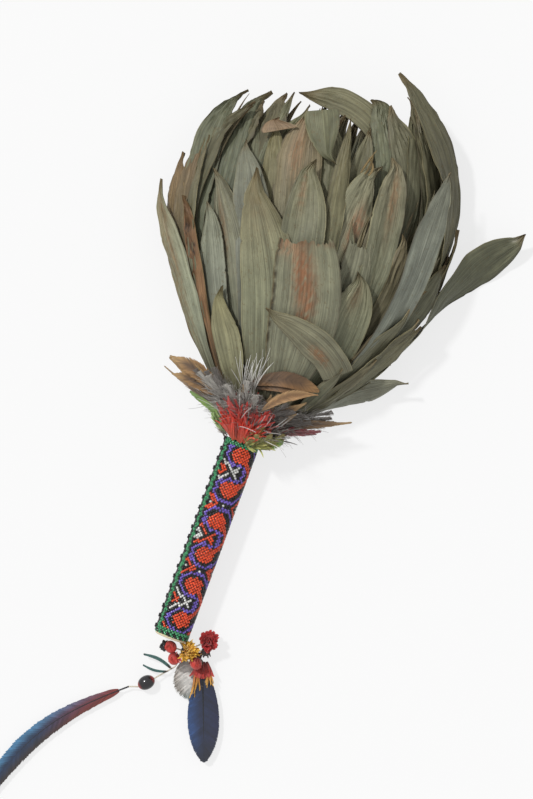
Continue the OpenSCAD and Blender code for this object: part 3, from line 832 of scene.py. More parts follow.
# A row gives a leaf's layer, its angle at the foot, its angle and reach at the middle and at the tip, its
# width, the share that is kept, fold, lift, roll, widest place, and its colours at the foot and the tip.
NAMED_LEAVES: dict[str, Leaf] = {
    "leaf_broad_left": Leaf(
        1.0, 2, -9, 99, -28, 166, 40, 1, 0.06, 0, 0, 0.42, "#7e7f66", "#7c7354",
        (Stain(0.86, 0.0, 0.14, 0.7, "#746343", 0.45),), crush=0.7, seed=1),
    "leaf_centre": Leaf(
        1.09, 22, 9, 91, -2, 176, 48, 0.74, -0.15, 0, 0, 0.5, "#81816b", "#7b7a60",
        (Stain(0.63, 0.12, 0.12, 0.27, "#855d41", 1.0), Stain(0.5, -0.04, 0.12, 0.22, "#845c40", 0.9),
        Stain(0.7, 0.3, 0.05, 0.3, "#8b6b50", 0.6), Stain(0.74, 0.0, 0.012, 1.2, "#6f5238", 0.9),
        # The last stain, a near-black band down the left margin, is a painted shadow line.
        Stain(0.72, 0.7, 0.04, 0.3, "#93694a", 0.7), Stain(0.45, 1.0, 0.5, 0.11, "#2c2418", 1.0)), crush=0.5,
        seed=2),
    "leaf_bent_across": Leaf(
        1.18, 44, 16, 69, -6, 78, 23, 1, 0.05, 0, 0, 0.3, "#7b7963", "#7a745a",
        (Stain(0.3, 0.3, 0.12, 0.3, "#8a6648", 0.8),), start=HEAD.neck_y + 52, foot_share=0.9, seed=3),
    "leaf_low_left": Leaf(
        1.04, -26, -29, 48, -33, 81, 22, 1, 0.08, 0, 0, 0.5, "#868467", "#86805c", curl=-4, seed=4),
    "leaf_left_edge": Leaf(
        1.02, -60, -61, 80, -83, 139, 18, 1, 0.1, 6, -22, 0.5, "#888b75", "#827b5f",
        (Stain(0.5, 0.7, 0.35, 0.5, "#7b6848", 0.7), Stain(0.62, 0.1, 0.12, 0.2, "#7f6243", 0.7),
        Stain(0.85, 0.0, 0.1, 0.5, "#7d6040", 0.6)), seed=5),
    "leaf_left_inner": Leaf(
        0.96, -36, -40, 87, -48, 133, 20, 1, 0.1, 0, 0, 0.5, "#868979", "#83846e", crush=1, seed=6),
    "leaf_brown_curl": Leaf(
        0.985, -50, -51, 86, -62, 132, 13, 1, 0.2, 2, 0, 0.6, "#7b5d40", "#6c5036",
        (Stain(0.5, 0.4, 0.3, 0.35, "#4a3524", 0.8), Stain(0.62, -0.2, 0.05, 0.4, "#2c2118", 0.95),
        Stain(0.76, 0.3, 0.04, 0.4, "#2c2118", 0.95), Stain(0.9, 0.0, 0.05, 0.5, "#54402b", 0.8)), crush=5,
        seed=7),
    "leaf_left_mid": Leaf(
        0.89, -22, -30, 99, -58, 157, 26, 1, 0.1, 0, 0, 0.5, "#7b7c69", "#76725b",
        (Stain(0.7, 0.3, 0.15, 0.2, "#7a5f45", 0.6),), crush=2, seed=8),
    "leaf_left_upper": Leaf(
        0.83, -12, -24, 120, -49, 183, 26, 1, -0.06, 0, 0, 0.6, "#75776a", "#70705c", crush=1, seed=9),
    "leaf_left_tip": Leaf(
        0.76, -4, -18, 133, -46, 200, 20, 1, 0.1, 0, 0, 0.6, "#757157", "#77704d", seed=10),
    "leaf_top_folded": Leaf(
        0.8, 8, -8, 137, -28, 219, 32, 0.93, 0.04, 0, 0, 0.7, "#7b7860", "#857358",
        (Stain(0.78, 0.1, 0.1, 0.3, "#8d6c4d", 0.8), Stain(0.93, 0.0, 0.03, 1, "#80654a", 0.8)), seed=11),
    "leaf_mid_upper": Leaf(
        0.9, 10, 0, 121, -7, 185, 30, 1, -0.06, 0, 0, 0.55, "#7a7b66", "#7b7659",
        (Stain(0.8, 0.3, 0.1, 0.2, "#86694c", 0.6),), seed=12),
    "leaf_top_pleated": Leaf(
        0.73, 16, 5, 144, -14, 226, 26, 0.95, 0.1, 0, 0, 0.7, "#76765f", "#777255", seed=13),
    "leaf_crown_bent": Leaf(
        0.63, 40, 48, 192, -50, 227, 19, 1, 0.02, 3, 0, 0.84, "#6f6d54", "#77735a", foot_share=0.2, crush=2,
        seed=14),
    "leaf_narrow_mid": Leaf(
        0.85, 26, 11, 137, 1, 221, 14, 1, 0.12, 0, 0, 0.55, "#6b6950", "#6d6548", seed=15),
    "leaf_narrow_top": Leaf(0.68, 34, 20, 151, 16, 218, 16, 1, 0, 0, 0, 0.6, "#6b6b55", "#6b664e", seed=16),
    "leaf_right_patch": Leaf(
        0.8, 34, 19, 127, 27, 197, 30, 1, 0.06, 0, 0, 0.55, "#888870", "#827e64",
        (Stain(0.64, -0.4, 0.1, 0.35, "#957459", 0.95),), seed=17),
    "leaf_right_torn": Leaf(
        0.88, 42, 31, 104, 26, 170, 26, 0.76, 0.03, 0, 0, 0.55, "#7d7e69", "#7a7660", seed=18),
    "leaf_right_low": Leaf(
        0.93, 48, 36, 79, 27, 123, 34, 1, -0.06, 0, 0, 0.5, "#81836b", "#807c61",
        (Stain(0.8, 0.0, 0.1, 0.3, "#82694c", 0.6),), seed=19),
    "leaf_right_broad": Leaf(
        1.04, 67, 49.5, 142, 58, 210, 25, 1, 0.06, 2, 0, 0.52, "#83877a", "#7d7d6b", crush=0.7, seed=20),
    "leaf_right_upper": Leaf(
        0.84, 50, 37, 141, 30, 205, 24, 1, 0.06, 0, 0, 0.6, "#7f8069", "#837b61",
        (Stain(0.75, -0.2, 0.15, 0.3, "#8a7053", 0.8),), seed=21),
    "leaf_right_crown": Leaf(
        0.74, 48, 40, 176, 16, 242, 26, 1, 0.06, 0, 0, 0.7, "#676b55", "#676650", curl=5, crush=3, seed=22),
    "leaf_outlier": Leaf(
        1.09, 106, 100, 126, 90, 191, 31, 1, 0.04, 40, 104, 0.66, "#5c5e4b", "#61614c", foot_share=0.42,
        # Its pale grey stain across the blade near the tip is a painted highlight.
        crush=0.8, stains=(Stain(0.93, 0.5, 0.02, 0.2, "#b9b6a6", 0.9),), seed=23),
    "leaf_low_right": Leaf(
        1.19, 86, 89, 40, 86, 62, 21, 1, 0.06, 20, 58, 0.55, "#8b8d7d", "#85836e", curl=3, crush=0.8,
        seed=24),
    "leaf_left_back": Leaf(
        0.95, -80, -74, 104, -84, 162, 22, 1, 0.08, 6, -20, 0.55, "#796a4c", "#6b5339", seed=25),
}
GROUPED_LEAVES: dict[str, tuple[Leaf, ...]] = {
    "right_rim_leaves": (
        Leaf(0.95, 86, 79, 178, 26, 260, 26, 1, 0.06, 8, 0, 0.65, "#5f5d49", "#65624b", seed=31, curl=-4,
             crush=3),
        Leaf(0.79, 66, 57, 180, 60, 247, 24, 1, 0.10, 0, 0, 0.65, "#6a6a55", "#6f6a50", seed=32),
        Leaf(0.96, 82, 78, 164, 78, 220, 16, 1, 0.06, 0, 12, 0.60, "#65634e", "#6e6347", seed=33),
        Leaf(0.84, 76, 65, 176, 48, 250, 18, 1, 0.06, 0, 0, 0.65, "#6b6b55", "#70684f", seed=42),
        Leaf(0.69, 58, 50, 172, 38, 238, 20, 1, 0.06, 0, 0, 0.70, "#6e6e57", "#716b52", seed=43),
        Leaf(1.00, 86, 86, 93, 84, 177, 14, 1, 0.06, 0, 4, 0.62, "#67644f", "#6b6047", seed=44),
        Leaf(0.978, 83, 75, 104, 98, 160, 14, 1, 0.06, 0, 0, 0.62, "#6a624a", "#705d42", seed=45),
    ),
    "right_strips": (
        Leaf(1.00, 66, 57, 90, 67, 128, 12, 1, 0.10, 0, 0, 0.55, "#776d54", "#7a6a49", seed=34),
        Leaf(0.94, 70, 62, 106, 72, 142, 12, 1, 0.10, 0, 0, 0.55, "#6d6850", "#74684c", seed=35),
        Leaf(1.00, 76, 73, 58, 80, 72, 6, 1, 0.10, 10, 0, 0.50, "#75664a", "#6f5a3c", seed=36),
        Leaf(0.90, 60, 51, 110, 43, 158, 12, 1, 0.15, 0, 0, 0.60, "#736e57", "#75694f", seed=37),
    ),
    "left_crown_leaves": (
        Leaf(0.90, -64, -64, 136, -79, 217, 24, 1, 0.12, 10, -28, 0.62, "#636652", "#5e5f4a", seed=38,
             curl=-14, crush=3.5),
        Leaf(0.82, -50, -52, 138, -75, 221, 26, 1, 0.10, 2, -18, 0.64, "#5f6350", "#5c5d48", seed=39,
             curl=-12, crush=3.5),
    ),
    "left_tip_leaves": (
        Leaf(0.68, -18, -36, 144, -32, 221, 16, 1, 0.10, 0, 0, 0.66, "#646751", "#6b6849", seed=40),
        Leaf(0.75, -38, -44, 140, -72, 205, 20, 1, 0.08, 0, 0, 0.60, "#676a56", "#69664c", seed=41),
        Leaf(0.715, -28, -44, 146, -50, 226, 18, 1, 0.08, 0, 0, 0.66, "#656954", "#68654c", seed=46),
    ),
    # The inner and core leaves are tinted darker than the outer ones, the core darkest: painted shade for
    # the deep gaps between the layers.
    "inner_leaves": tuple(
        Leaf.straight(k, f, r, w, "#504f3d", 50 + i) for i, (k, f, r, w) in enumerate((
            (0.53, -72, 206, 22), (0.60, -48, 222, 22), (0.53, -24, 228, 29), (0.60, 0, 232, 29),
            (0.53, 24, 234, 29), (0.585, 48, 166, 22), (0.50, 72, 226, 22)))),
    "core_leaves": tuple(
        Leaf.straight(k, f, r, w, "#393729", 60 + i) for i, (k, f, r, w) in enumerate((
            (0.39, -60, 200, 19), (0.46, -36, 222, 22), (0.39, -12, 226, 22),
            (0.46, 12, 230, 22), (0.39, 36, 230, 22), (0.46, 60, 218, 19)))),
    "under_leaves": tuple(
        Leaf.straight(k, f, r, w, "#6e6c54", 70 + i) for i, (k, f, r, w) in enumerate((
            (0.94, 128, 214, 36), (0.94, 232, 204, 36)))),
    "under_inner_leaves": tuple(
        Leaf.straight(k, f, r, w, "#625f4a", 80 + i) for i, (k, f, r, w) in enumerate((
            (0.80, 112, 199, 22), (0.70, 150, 214, 36), (0.70, 210, 220, 36), (0.80, 248, 194, 22)))),
}


@dataclass(frozen=True)
class LeafHead:
    """All the leaves of the head, each a piece in place of its own solid."""

    rest_z: float = -14.0
    rest_length: float = 150.0
    rest_width: float = 46.0
    rest_thick: float = 0.6
    turning: tuple[str, ...] = (
        "leaf_centre", "leaf_broad_left", "leaf_bent_across", "leaf_low_left", "leaf_left_edge",
        "leaf_right_broad", "leaf_outlier", "leaf_low_right")
    tan: tuple[str, ...] = (
        "leaf_left_edge", "leaf_brown_curl", "leaf_top_folded", "right_strips", "leaf_left_back")
    shaded: tuple[str, ...] = (
        "leaf_outlier", "right_rim_leaves", "inner_leaves", "core_leaves", "under_inner_leaves",
        "leaf_narrow_top")

    TOP_FLAP = Leaf(0.845, -32, -34, 200, -36, 204.5, 25, 1, 0.02, 0, 0, 0.05, "#857057", "#7c644a",
                    start=HEAD.neck_y + 196, foot_share=0.95, seed=91)
    HANGING_TIP = Leaf(0.86, -16, -8, 204, 2, 187, 24, 1, 0.06, 0, 0, 0.15, "#686850", "#63634a",
                       start=HEAD.neck_y + 219, foot_share=0.9, crush=2, seed=109)
    STRAW = tuple(
        Leaf(0.88, 14 + 2 * i, 16 + 1.5 * i, 196 - i, 19 - 2 * i, 207 - 4 * i, 1.6, 1, 0.1, 1.5, 0, 0.5,
             "#7f6c48", "#8d7950", start=HEAD.neck_y + 187, foot_share=0.6, seed=120 + i) for i in range(3))
    BENT_STALK = Leaf(1.19, 51, 47, 36, 41, 58, 11, 1, 0.12, 0, 0, 0.5, "#6f6f5a", "#6f6b54", seed=96)
    RIM_BACKING = (
        Leaf(0.93, 84, 83, 140, 66, 236, 26, 1, 0.08, 0, 0, 0.65, "#68674f", "#6b6850", seed=101, crush=3),
        Leaf(0.86, 78, 76, 150, 54, 244, 26, 1, 0.08, 0, 0, 0.65, "#6c6b55", "#6d6952", seed=102, crush=3),
        Leaf(0.76, 62, 56, 160, 30, 240, 26, 1, 0.08, 0, 0, 0.68, "#6d6d57", "#6e6a54", seed=103, crush=3),
        Leaf(0.70, -30, -38, 150, -58, 224, 26, 1, 0.08, 0, 0, 0.68, "#5d5b46", "#5f5942", seed=104,
             crush=3),
        Leaf(0.78, -56, -60, 140, -66, 214, 24, 1, 0.08, 0, 0, 0.66, "#605e48", "#5e5841", seed=105,
             crush=4),
        Leaf(0.93, -60, -64, 140, -68, 212, 20, 1, 0.14, 0, -10, 0.6, "#5c5b46", "#565039", seed=106,
             curl=-14, crush=3.5),
        Leaf(0.88, -66, -70, 132, -72, 204, 18, 1, 0.16, 2, -14, 0.6, "#67654f", "#5b543d", seed=107,
             curl=-10, crush=3.5),
        Leaf(0.96, -58, -67, 118, -80, 186, 15, 1, 0.14, 0, -12, 0.6, "#6a6049", "#6b5236", seed=108,
             curl=-6, crush=5),
        Leaf(0.97, -46, -55, 112, -63, 178, 7, 1, 0.2, 0, 0, 0.5, "#66654f", "#6b6148", seed=110, curl=2,
             crush=2),
    )
    RIGHT_OVER = (
        Leaf(1.065, 70, 58, 66, 56, 112, 17, 1, 0.06, 0, 0, 0.55, "#73735f", "#706c55", seed=92),
        Leaf(1.085, 77, 66, 62, 66, 108, 15, 1, 0.08, 0, 6, 0.58, "#64634f", "#6b654d", seed=93),
        Leaf(1.10, 78, 71, 60, 72, 104, 14, 1, 0.08, 0, 10, 0.6, "#77765f", "#736d54", seed=94),
        Leaf(1.115, 70, 64, 40, 60, 72, 15, 1, 0.06, 0, 0, 0.6, "#6c6a53", "#706850", seed=95),
        Leaf(1.0, 76, 70, 90, 73, 150, 20, 1, 0.06, 2, 26, 0.6, "#5e604e", "#62604b", seed=97),
    )

    @staticmethod
    def shreds() -> list[Leaf]:
        """Narrow torn strips among the leaves, on the right, in the crown and as twisted tips.

        Returns:
            The strips.
        """
        rng = np.random.default_rng(11)
        tones = ("#6b6a52", "#5c5a45", "#787660", "#74664a", "#5f5238", "#6f7060", "#84806a")
        made = []
        for count, turn, layer, reach, width, roll in (
            (14, (24, 80), (0.70, 0.84), (120, 225), (6, 13), 25),
            (14, (70, 88), (0.88, 0.98), (70, 175), (6, 13), 20),
            (6, (-78, -40), (0.62, 0.74), (150, 215), (8, 14), 25),
            (8, (-82, -64), (0.7, 0.9), (196, 214), (4, 9), 60),
            (12, (-40, 34), (0.50, 0.66), (205, 230), (9, 17), 30),
            (10, (36, 78), (0.62, 0.9), (205, 244), (5, 11), 50),
        ):
            for _ in range(count):
                f = rng.uniform(*turn)
                far = rng.uniform(*reach)
                made.append(Leaf(
                    rng.uniform(*layer), f, f + rng.normal() * 4, far * rng.uniform(0.48, 0.56),
                    f + rng.normal() * 9, far, rng.uniform(*width), rng.choice([1.0, 1.0, 0.94, 0.88]),
                    rng.uniform(0.1, 0.3), rng.uniform(0, 5), rng.uniform(-roll, roll),
                    rng.uniform(0.55, 0.8), tone=rng.choice(tones), tip_tone=rng.choice(tones),
                    curl=rng.normal() * 4, seed=200 + len(made)))
        return made

    def slot(self, node: str) -> str:
        """Material slot of a leaf node."""
        if node in self.tan:
            return "tan_dried_leaf"
        return "shaded_dried_leaf" if node in self.shaded else "dried_leaf"

    def rest_blade(self) -> Surface:
        """Flat lowest leaf: its outline on the table, with shallow ribs on its upper face only.

        Returns:
            The closed blade.
        """
        rest = Leaf(1, 0, 0, 0, 0, 0, self.rest_width, tone="#77745a", tip_tone="#786e50", seed=90)
        u, v = np.meshgrid(np.linspace(0, 1, 60), np.linspace(-1, 1, 25), indexing="ij")
        x = HEAD.lean_at(HEAD.leaf_y) + v * rest.half_width(u)
        y = HEAD.leaf_y + self.rest_length * u
        ribs = 0.12 * np.sin(TURN * v * self.rest_width / 9)
        front = np.stack([x, y, self.rest_z + self.rest_thick + ribs - 0.15], -1)
        back = np.stack([x, y, np.full_like(x, self.rest_z)], -1)
        place = np.stack([v * self.rest_width / 2, self.rest_length * u, 0 * u], -1)
        return closed_blade(front, back, rest.tint(u, v, np.random.default_rng(90)), place)

    def build(self) -> None:
        """Makes each leaf piece and settles it on its body."""
        finish = DriedLeaf().material()
        for node, leaf in NAMED_LEAVES.items():
            made = leaf.blade().to_object("dried_" + node, finish)
            settle(made, node if node in self.turning else "head", self.slot(node), node)
        for node, leaves in GROUPED_LEAVES.items():
            made = Surface.joined([leaf.blade() for leaf in leaves]).to_object("dried_" + node, finish)
            settle(made, "head", self.slot(node), node)
        settle(self.rest_blade().to_object("dried_rest_leaf", finish), "head", "dried_leaf", "rest_leaf")
        for name, rows, columns, body, slot, leaves in (
            ("torn_leaf_strips", 44, 9, "head", "dried_leaf", self.shreds()),
            ("bent_leaf_stalk", 30, 13, "leaf_bent_across", "dried_leaf", (self.BENT_STALK,)),
            ("folded_leaf_flap", 30, 21, "head", "tan_dried_leaf", (self.TOP_FLAP,)),
            ("hanging_leaf_tip", 40, 21, "head", "dried_leaf", (self.HANGING_TIP,)),
            ("straw_fibres", 20, 5, "head", "tan_dried_leaf", self.STRAW),
            ("rim_backing_leaves", 64, 17, "head", "shaded_dried_leaf", self.RIM_BACKING),
            ("right_cover_leaves", 64, 17, "leaf_right_broad", "dried_leaf", self.RIGHT_OVER),
        ):
            blades = Surface.joined([leaf.blade(rows, columns) for leaf in leaves])
            settle(blades.to_object(name, finish), body, slot)


@dataclass(frozen=True)
class FeatherLook:
    """Colours and habit of a feather: from shaft to edge, at the tip and the foot, and how its barbs lie."""

    inner: str
    outer: str
    tip: str
    foot: str
    shaft: str = "#54432f"
    right: str = ""
    tip_from: float = 0.7
    foot_to: float = 0.25
    barbs: int = 44
    sweep: float = 0.17
    ragged: float = 0.08
    fluff: float = 0.0
    cup: float = 0.08
    bare: float = 0.05
    shaft_r: float = 0.32
    cover: float = 0.8
    wide: float = 1.0
    close: float = 0.85

    def colour(self, u: Array, v: Array, sign: int, vary: Array) -> Array:
        """Colour at share u of the feather and share v of a barb.

        Args:
            u: Share along the feather.
            v: Share from the shaft to the edge.
            sign: Side of the shaft, -1 or 1.
            vary: Brightness change of each barb.

        Returns:
            Linear colours.
        """
        edge = self.right if self.right and sign < 0 else self.outer
        shade = mix(linear(self.inner), linear(edge), ramp(v, 0.1, 0.95))
        shade = mix(shade, linear(self.tip), ramp(u, self.tip_from, 1.0))
        shade = mix(shade, linear(self.foot), 1 - ramp(u, 0.0, self.foot_to))
        shade = np.clip(shade * vary[..., None], 0, 1)
        shade[..., 3] = 1
        return shade


class Feather:
    """Feather with a shaft and two rows of barbs; its kind gives its look, shaft, facing and half width."""

    look: FeatherLook

    FLOOR = -13.3
    BARB_POINTS = 6
    BARB_THICK = 0.07
    BARB_STEP = 0.09
    BARB_SHADE = 0.13
    WAVE = 6.28  # One turn in radians, rounded.

    def shaft(self, u: Array) -> Array:
        """Middle line at share u."""
        raise NotImplementedError

    def facing(self, u: Array) -> Array:
        """Direction that the upper face looks."""
        raise NotImplementedError

    def half(self, u: Array) -> Array:
        """Half width at share u."""
        raise NotImplementedError

    def frame(self, u: Array) -> tuple[Array, Array]:
        """Side and upward directions, square to the shaft.

        Args:
            u: Share along the feather.

        Returns:
            Unit vectors to the side and out.
        """
        tangent = unit(self.shaft(u + 1e-3) - self.shaft(u - 1e-3))
        out = self.facing(u)
        out = unit(out - tangent * np.sum(out * tangent, -1, keepdims=True))
        return np.cross(tangent, out), out

    def build(self, seed: int) -> Surface:
        """Shaft and barbs: a barb leaves the shaft, sweeps towards the tip and ends on the outline.

        Args:
            seed: Seed of the small differences between barbs.

        Returns:
            The feather.
        """
        rng = np.random.default_rng(seed)
        run = np.linspace(0, 0.97, 24)
        taper = self.look.shaft_r * (1 - 0.85 * run)
        path = self.shaft(run)
        path[:, 2] = np.maximum(path[:, 2], self.FLOOR)
        parts = [tube(path, taper, 6, linear(self.look.shaft)).outward()]
        length = np.linalg.norm(self.shaft(np.array(1.0)) - self.shaft(np.array(0.0)))
        parts += [self.vane(sign, length, rng).outward() for sign in (-1, 1)]
        return Surface.joined(parts)

    def vane(self, sign: int, length: float, rng: Random) -> Surface:
        """One row of barbs, each a flat closed strip of four sides that tapers to its end.

        Args:
            sign: Side of the shaft, -1 or 1.
            length: Length of the feather.
            rng: Seeded source of the differences between barbs.

        Returns:
            The row.
        """
        look = self.look
        count = look.barbs
        root = look.bare + (0.98 - look.bare) * (np.arange(count) + 0.5) / count
        s = np.linspace(0, 1, self.BARB_POINTS)[None]
        advance = look.sweep * (1 + look.ragged * rng.normal(size=count))[:, None]
        u = np.clip(root[:, None] + advance * s ** 1.15, 0, 1.0)
        reach = look.wide * self.half(np.clip(root[:, None] + advance, 0, 0.995))
        closing = 1 - 0.85 * ramp(root, look.close, 0.985)[:, None]
        reach = reach * closing * (1 + look.ragged * rng.normal(size=(count, 1)))
        phase = rng.uniform(0, self.WAVE, (count, 1))
        wave = look.fluff * np.sin(self.WAVE * s * rng.uniform(0.6, 1.3, (count, 1)) + phase) * s
        lift = look.cup * s ** 2 + look.fluff * 1.1 * rng.normal(size=(count, 1)) * s ** 1.5
        layer = self.BARB_STEP * (np.arange(count) % 3)[:, None]
        side, out = self.frame(u)
        line = self.shaft(u) + side * (sign * reach * (s ** 0.92 + wave))[..., None]
        line = line + out * (reach * lift + layer)[..., None]
        line[..., 2] = np.maximum(line[..., 2], self.FLOOR)
        way = unit(np.gradient(line, axis=1))
        flat = unit(np.cross(way, out))
        spacing = look.cover * length * (0.97 - look.bare) / count
        wide = (spacing * (1 - 0.85 * s ** 4) + 0 * root[:, None])[..., None]
        thin = self.BARB_THICK * np.cross(flat, way)
        vary = 1 + self.BARB_SHADE * rng.normal(size=(count, 1)) + 0 * s
        place = np.stack(np.broadcast_arrays(root[:, None] * length, reach * s, 0.0), -1)
        return strips(line, flat * wide, thin, look.colour(u, s + 0 * u, sign, vary), place)


@dataclass(frozen=True)
class CollarFeather(Feather):
    """Feather tied at the binding: foot and reach past the beads, layer and angles, as in the part."""

    foot: float
    layer: float
    turn: float
    tip_turn: float
    reach: float
    width: float
    look: FeatherLook

    TOP = 72.0
    SEAT = 13.9

    def shaft(self, u: Array) -> Array:
        """Line that leaves the binding and eases on to the leaves: q = 1 - (1 - u) to the power 1.7.

        Args:
            u: Share along the feather.

        Returns:
            Points of the line.
        """
        f = self.turn + (self.tip_turn - self.turn) * u
        y = self.TOP + self.foot + (self.reach - self.foot) * u
        q = (1 - np.clip(1 - u, 0, 1) ** 1.7)[..., None]
        t = np.radians(f)
        seat = np.stack([self.SEAT * np.sin(t), y, self.SEAT * np.cos(t)], -1)
        return (1 - q) * seat + q * HEAD.shell(f, y, self.layer)

    def facing(self, u: Array) -> Array:
        """Away from the handle axis."""
        t = np.radians(self.turn + (self.tip_turn - self.turn) * u)
        return np.stack([np.sin(t), 0 * t, np.cos(t)], -1)

    def half(self, u: Array) -> Array:
        """Half width: a sine swell that leans to the foot."""
        swell = np.clip(np.sin(math.pi * np.clip(u, 0, 1) ** 0.8), 0, 1) ** 0.7
        return self.width / 2 * (0.16 + 0.84 * swell * (1 - 0.3 * u)) + 0.1


@dataclass(frozen=True)
class Plume(Feather):
    """Flat feather that lies along a level angle from a point, in the tassel or on the leaves."""

    start: Point
    angle: float
    length: float
    width: float
    arch: float
    look: FeatherLook
    bow: float = 0.0

    def shaft(self, u: Array) -> Array:
        """Line with an arch up and a bow to one side, each half a sine wave."""
        t = math.radians(self.angle)
        u = np.asarray(u)[..., None]
        off = np.array([self.bow * math.sin(t), -self.bow * math.cos(t), self.arch]) * np.sin(math.pi * u)
        return np.array(self.start) + self.length * u * np.array([math.cos(t), math.sin(t), 0.0]) + off

    def facing(self, u: Array) -> Array:
        """Straight up."""
        return np.broadcast_to(np.array([0.0, 0.0, 1.0]), (*np.shape(u), 3))

    def half(self, u: Array) -> Array:
        """Half width: a sine swell that leans to the tip, which is blunt."""
        swell = np.clip(np.sin(math.pi * np.clip(u, 0, 0.985) ** 1.3), 0, 1) ** 0.65
        return self.width / 2 * (0.1 + 0.9 * swell)


HEN = FeatherLook(
    "#5a4430", "#96744a", "#a4865a", "#4a3c30", barbs=80, fluff=0.03, ragged=0.06, wide=1.3, close=0.45,
    cover=1.2)
RUST = FeatherLook(
    "#57402a", "#7d5a35", "#8a673d", "#43352a", right="#5b432b", barbs=110, sweep=0.12, ragged=0.02,
    cover=1.6, close=0.85)
TAN = FeatherLook(
    "#7a5a38", "#a9845a", "#9a764c", "#6b5238", right="#b08c60", barbs=90, sweep=0.12, ragged=0.04,
    fluff=0.04, wide=1.1, close=0.5)
DOWN = FeatherLook(
    "#4e4843", "#938e87", "#7a746e", "#3c3733", "#665f58", barbs=70, fluff=0.35, ragged=0.3, sweep=0.22,
    cover=0.16, wide=2.0)
RED = FeatherLook(
    "#bc2a1f", "#dc3c2c", "#b03226", "#b4603a", "#6d2a22", ragged=0.14, fluff=0.06, wide=1.1, close=0.5)
DARK_RED = FeatherLook(
    "#5f1f22", "#8f2930", "#7a2a30", "#43322c", "#3c2a28", ragged=0.2, fluff=0.12, wide=1.7)
GREEN = FeatherLook("#7c9a45", "#93b056", "#6f8f48", "#5d6a3c", "#56642f", ragged=0.12, fluff=0.05, wide=1.4)
BACK = FeatherLook(
    "#54483c", "#7a6650", "#8a7355", "#453b33", fluff=0.14, ragged=0.25, wide=1.4, close=0.5, cover=0.4)
WHITE = FeatherLook(
    "#a9a59d", "#c9c6bf", "#b9b5ad", "#8f8a82", "#aaa59c", barbs=60, fluff=0.4, ragged=0.35, sweep=0.25,
    cover=0.12, wide=2.0)
OLIVE = FeatherLook("#8a8a4a", "#a09a5a", "#8f7f4a", "#6a6a3a", "#5e5a30", ragged=0.2, fluff=0.12, wide=1.6)


def spray(root: Array, axis: Array, spread: float, length: float, count: int, width: float,
          shades: tuple[str, str], seed: int) -> Surface:
    """Bunch of flat tapered barbs that leave one point.

    Args:
        root: Where the barbs start.
        axis: Main direction.
        spread: How far the directions stray from it, 1 being about 45 degrees.
        length: Length of the longest barbs.
        count: Number of barbs.
        width: Width of a barb.
        shades: Hex colours at the root and the end.
        seed: Seed of the directions.

    Returns:
        The bunch.
    """
    rng = np.random.default_rng(seed)
    way = unit(unit(np.asarray(axis, float)) + spread * rng.normal(size=(count, 3)))[:, None]
    s = np.linspace(0, 1, 6)[None, :, None]
    far = length * rng.uniform(0.6, 1.0, (count, 1, 1))
    side = unit(np.cross(way, rng.normal(size=(count, 1, 3)) * 0.4 + np.array([0.0, 0.0, 1.0])))
    line = np.asarray(root) + way * far * s + side * far * 0.18 * rng.normal(size=(count, 1, 1)) * s * s
    flat = side * width / 2 * (0.15 + 0.85 * np.sin(math.pi * (0.1 + 0.86 * s)) ** 0.7)
    thin = np.cross(way, side) * 0.08
    tone = mix(linear(shades[0]), linear(shades[1]), np.broadcast_to(s[..., 0], (count, 6)))
    tone = np.clip(tone * (1 + 0.15 * rng.normal(size=(count, 1, 1))), 0, 1)
    tone[..., 3] = 1
    place = np.stack(np.broadcast_arrays(rng.uniform(0, 30, (count, 1)), far[..., 0] * s[..., 0], 0.0), -1)
    return strips(line, flat, thin, tone, place).outward()


@dataclass(frozen=True)
class Tuft:
    """Row of sprays round the collar, each at its own angle and a little longer or shorter than the next."""

    name: str
    slot: str
    count: int
    turn: Range
    foot: float
    length: float
    barbs: int
    width: float
    shades: tuple[str, str]
    spread: float
    radius: float = 14.6

    def build(self) -> Surface:
        """Sprays at even angles, from a seed that is the length of the name.

        Returns:
            All the sprays of the row.
        """
        rng = np.random.default_rng(len(self.name))
        parts = []
        for i in range(self.count):
            t = math.radians(self.turn[0] + (self.turn[1] - self.turn[0]) * (i + 0.5) / self.count)
            y = CollarFeather.TOP + self.foot + rng.uniform(-1, 1)
            root = (self.radius * math.sin(t), y, self.radius * math.cos(t))
            axis = (0.75 * math.sin(t), 1.0, 0.55 * math.cos(t) + 0.2)
            length = self.length * rng.uniform(0.75, 1.1)
            parts.append(
                spray(root, axis, self.spread, length, self.barbs, self.width, self.shades, 400 + i))
        return Surface.joined(parts)


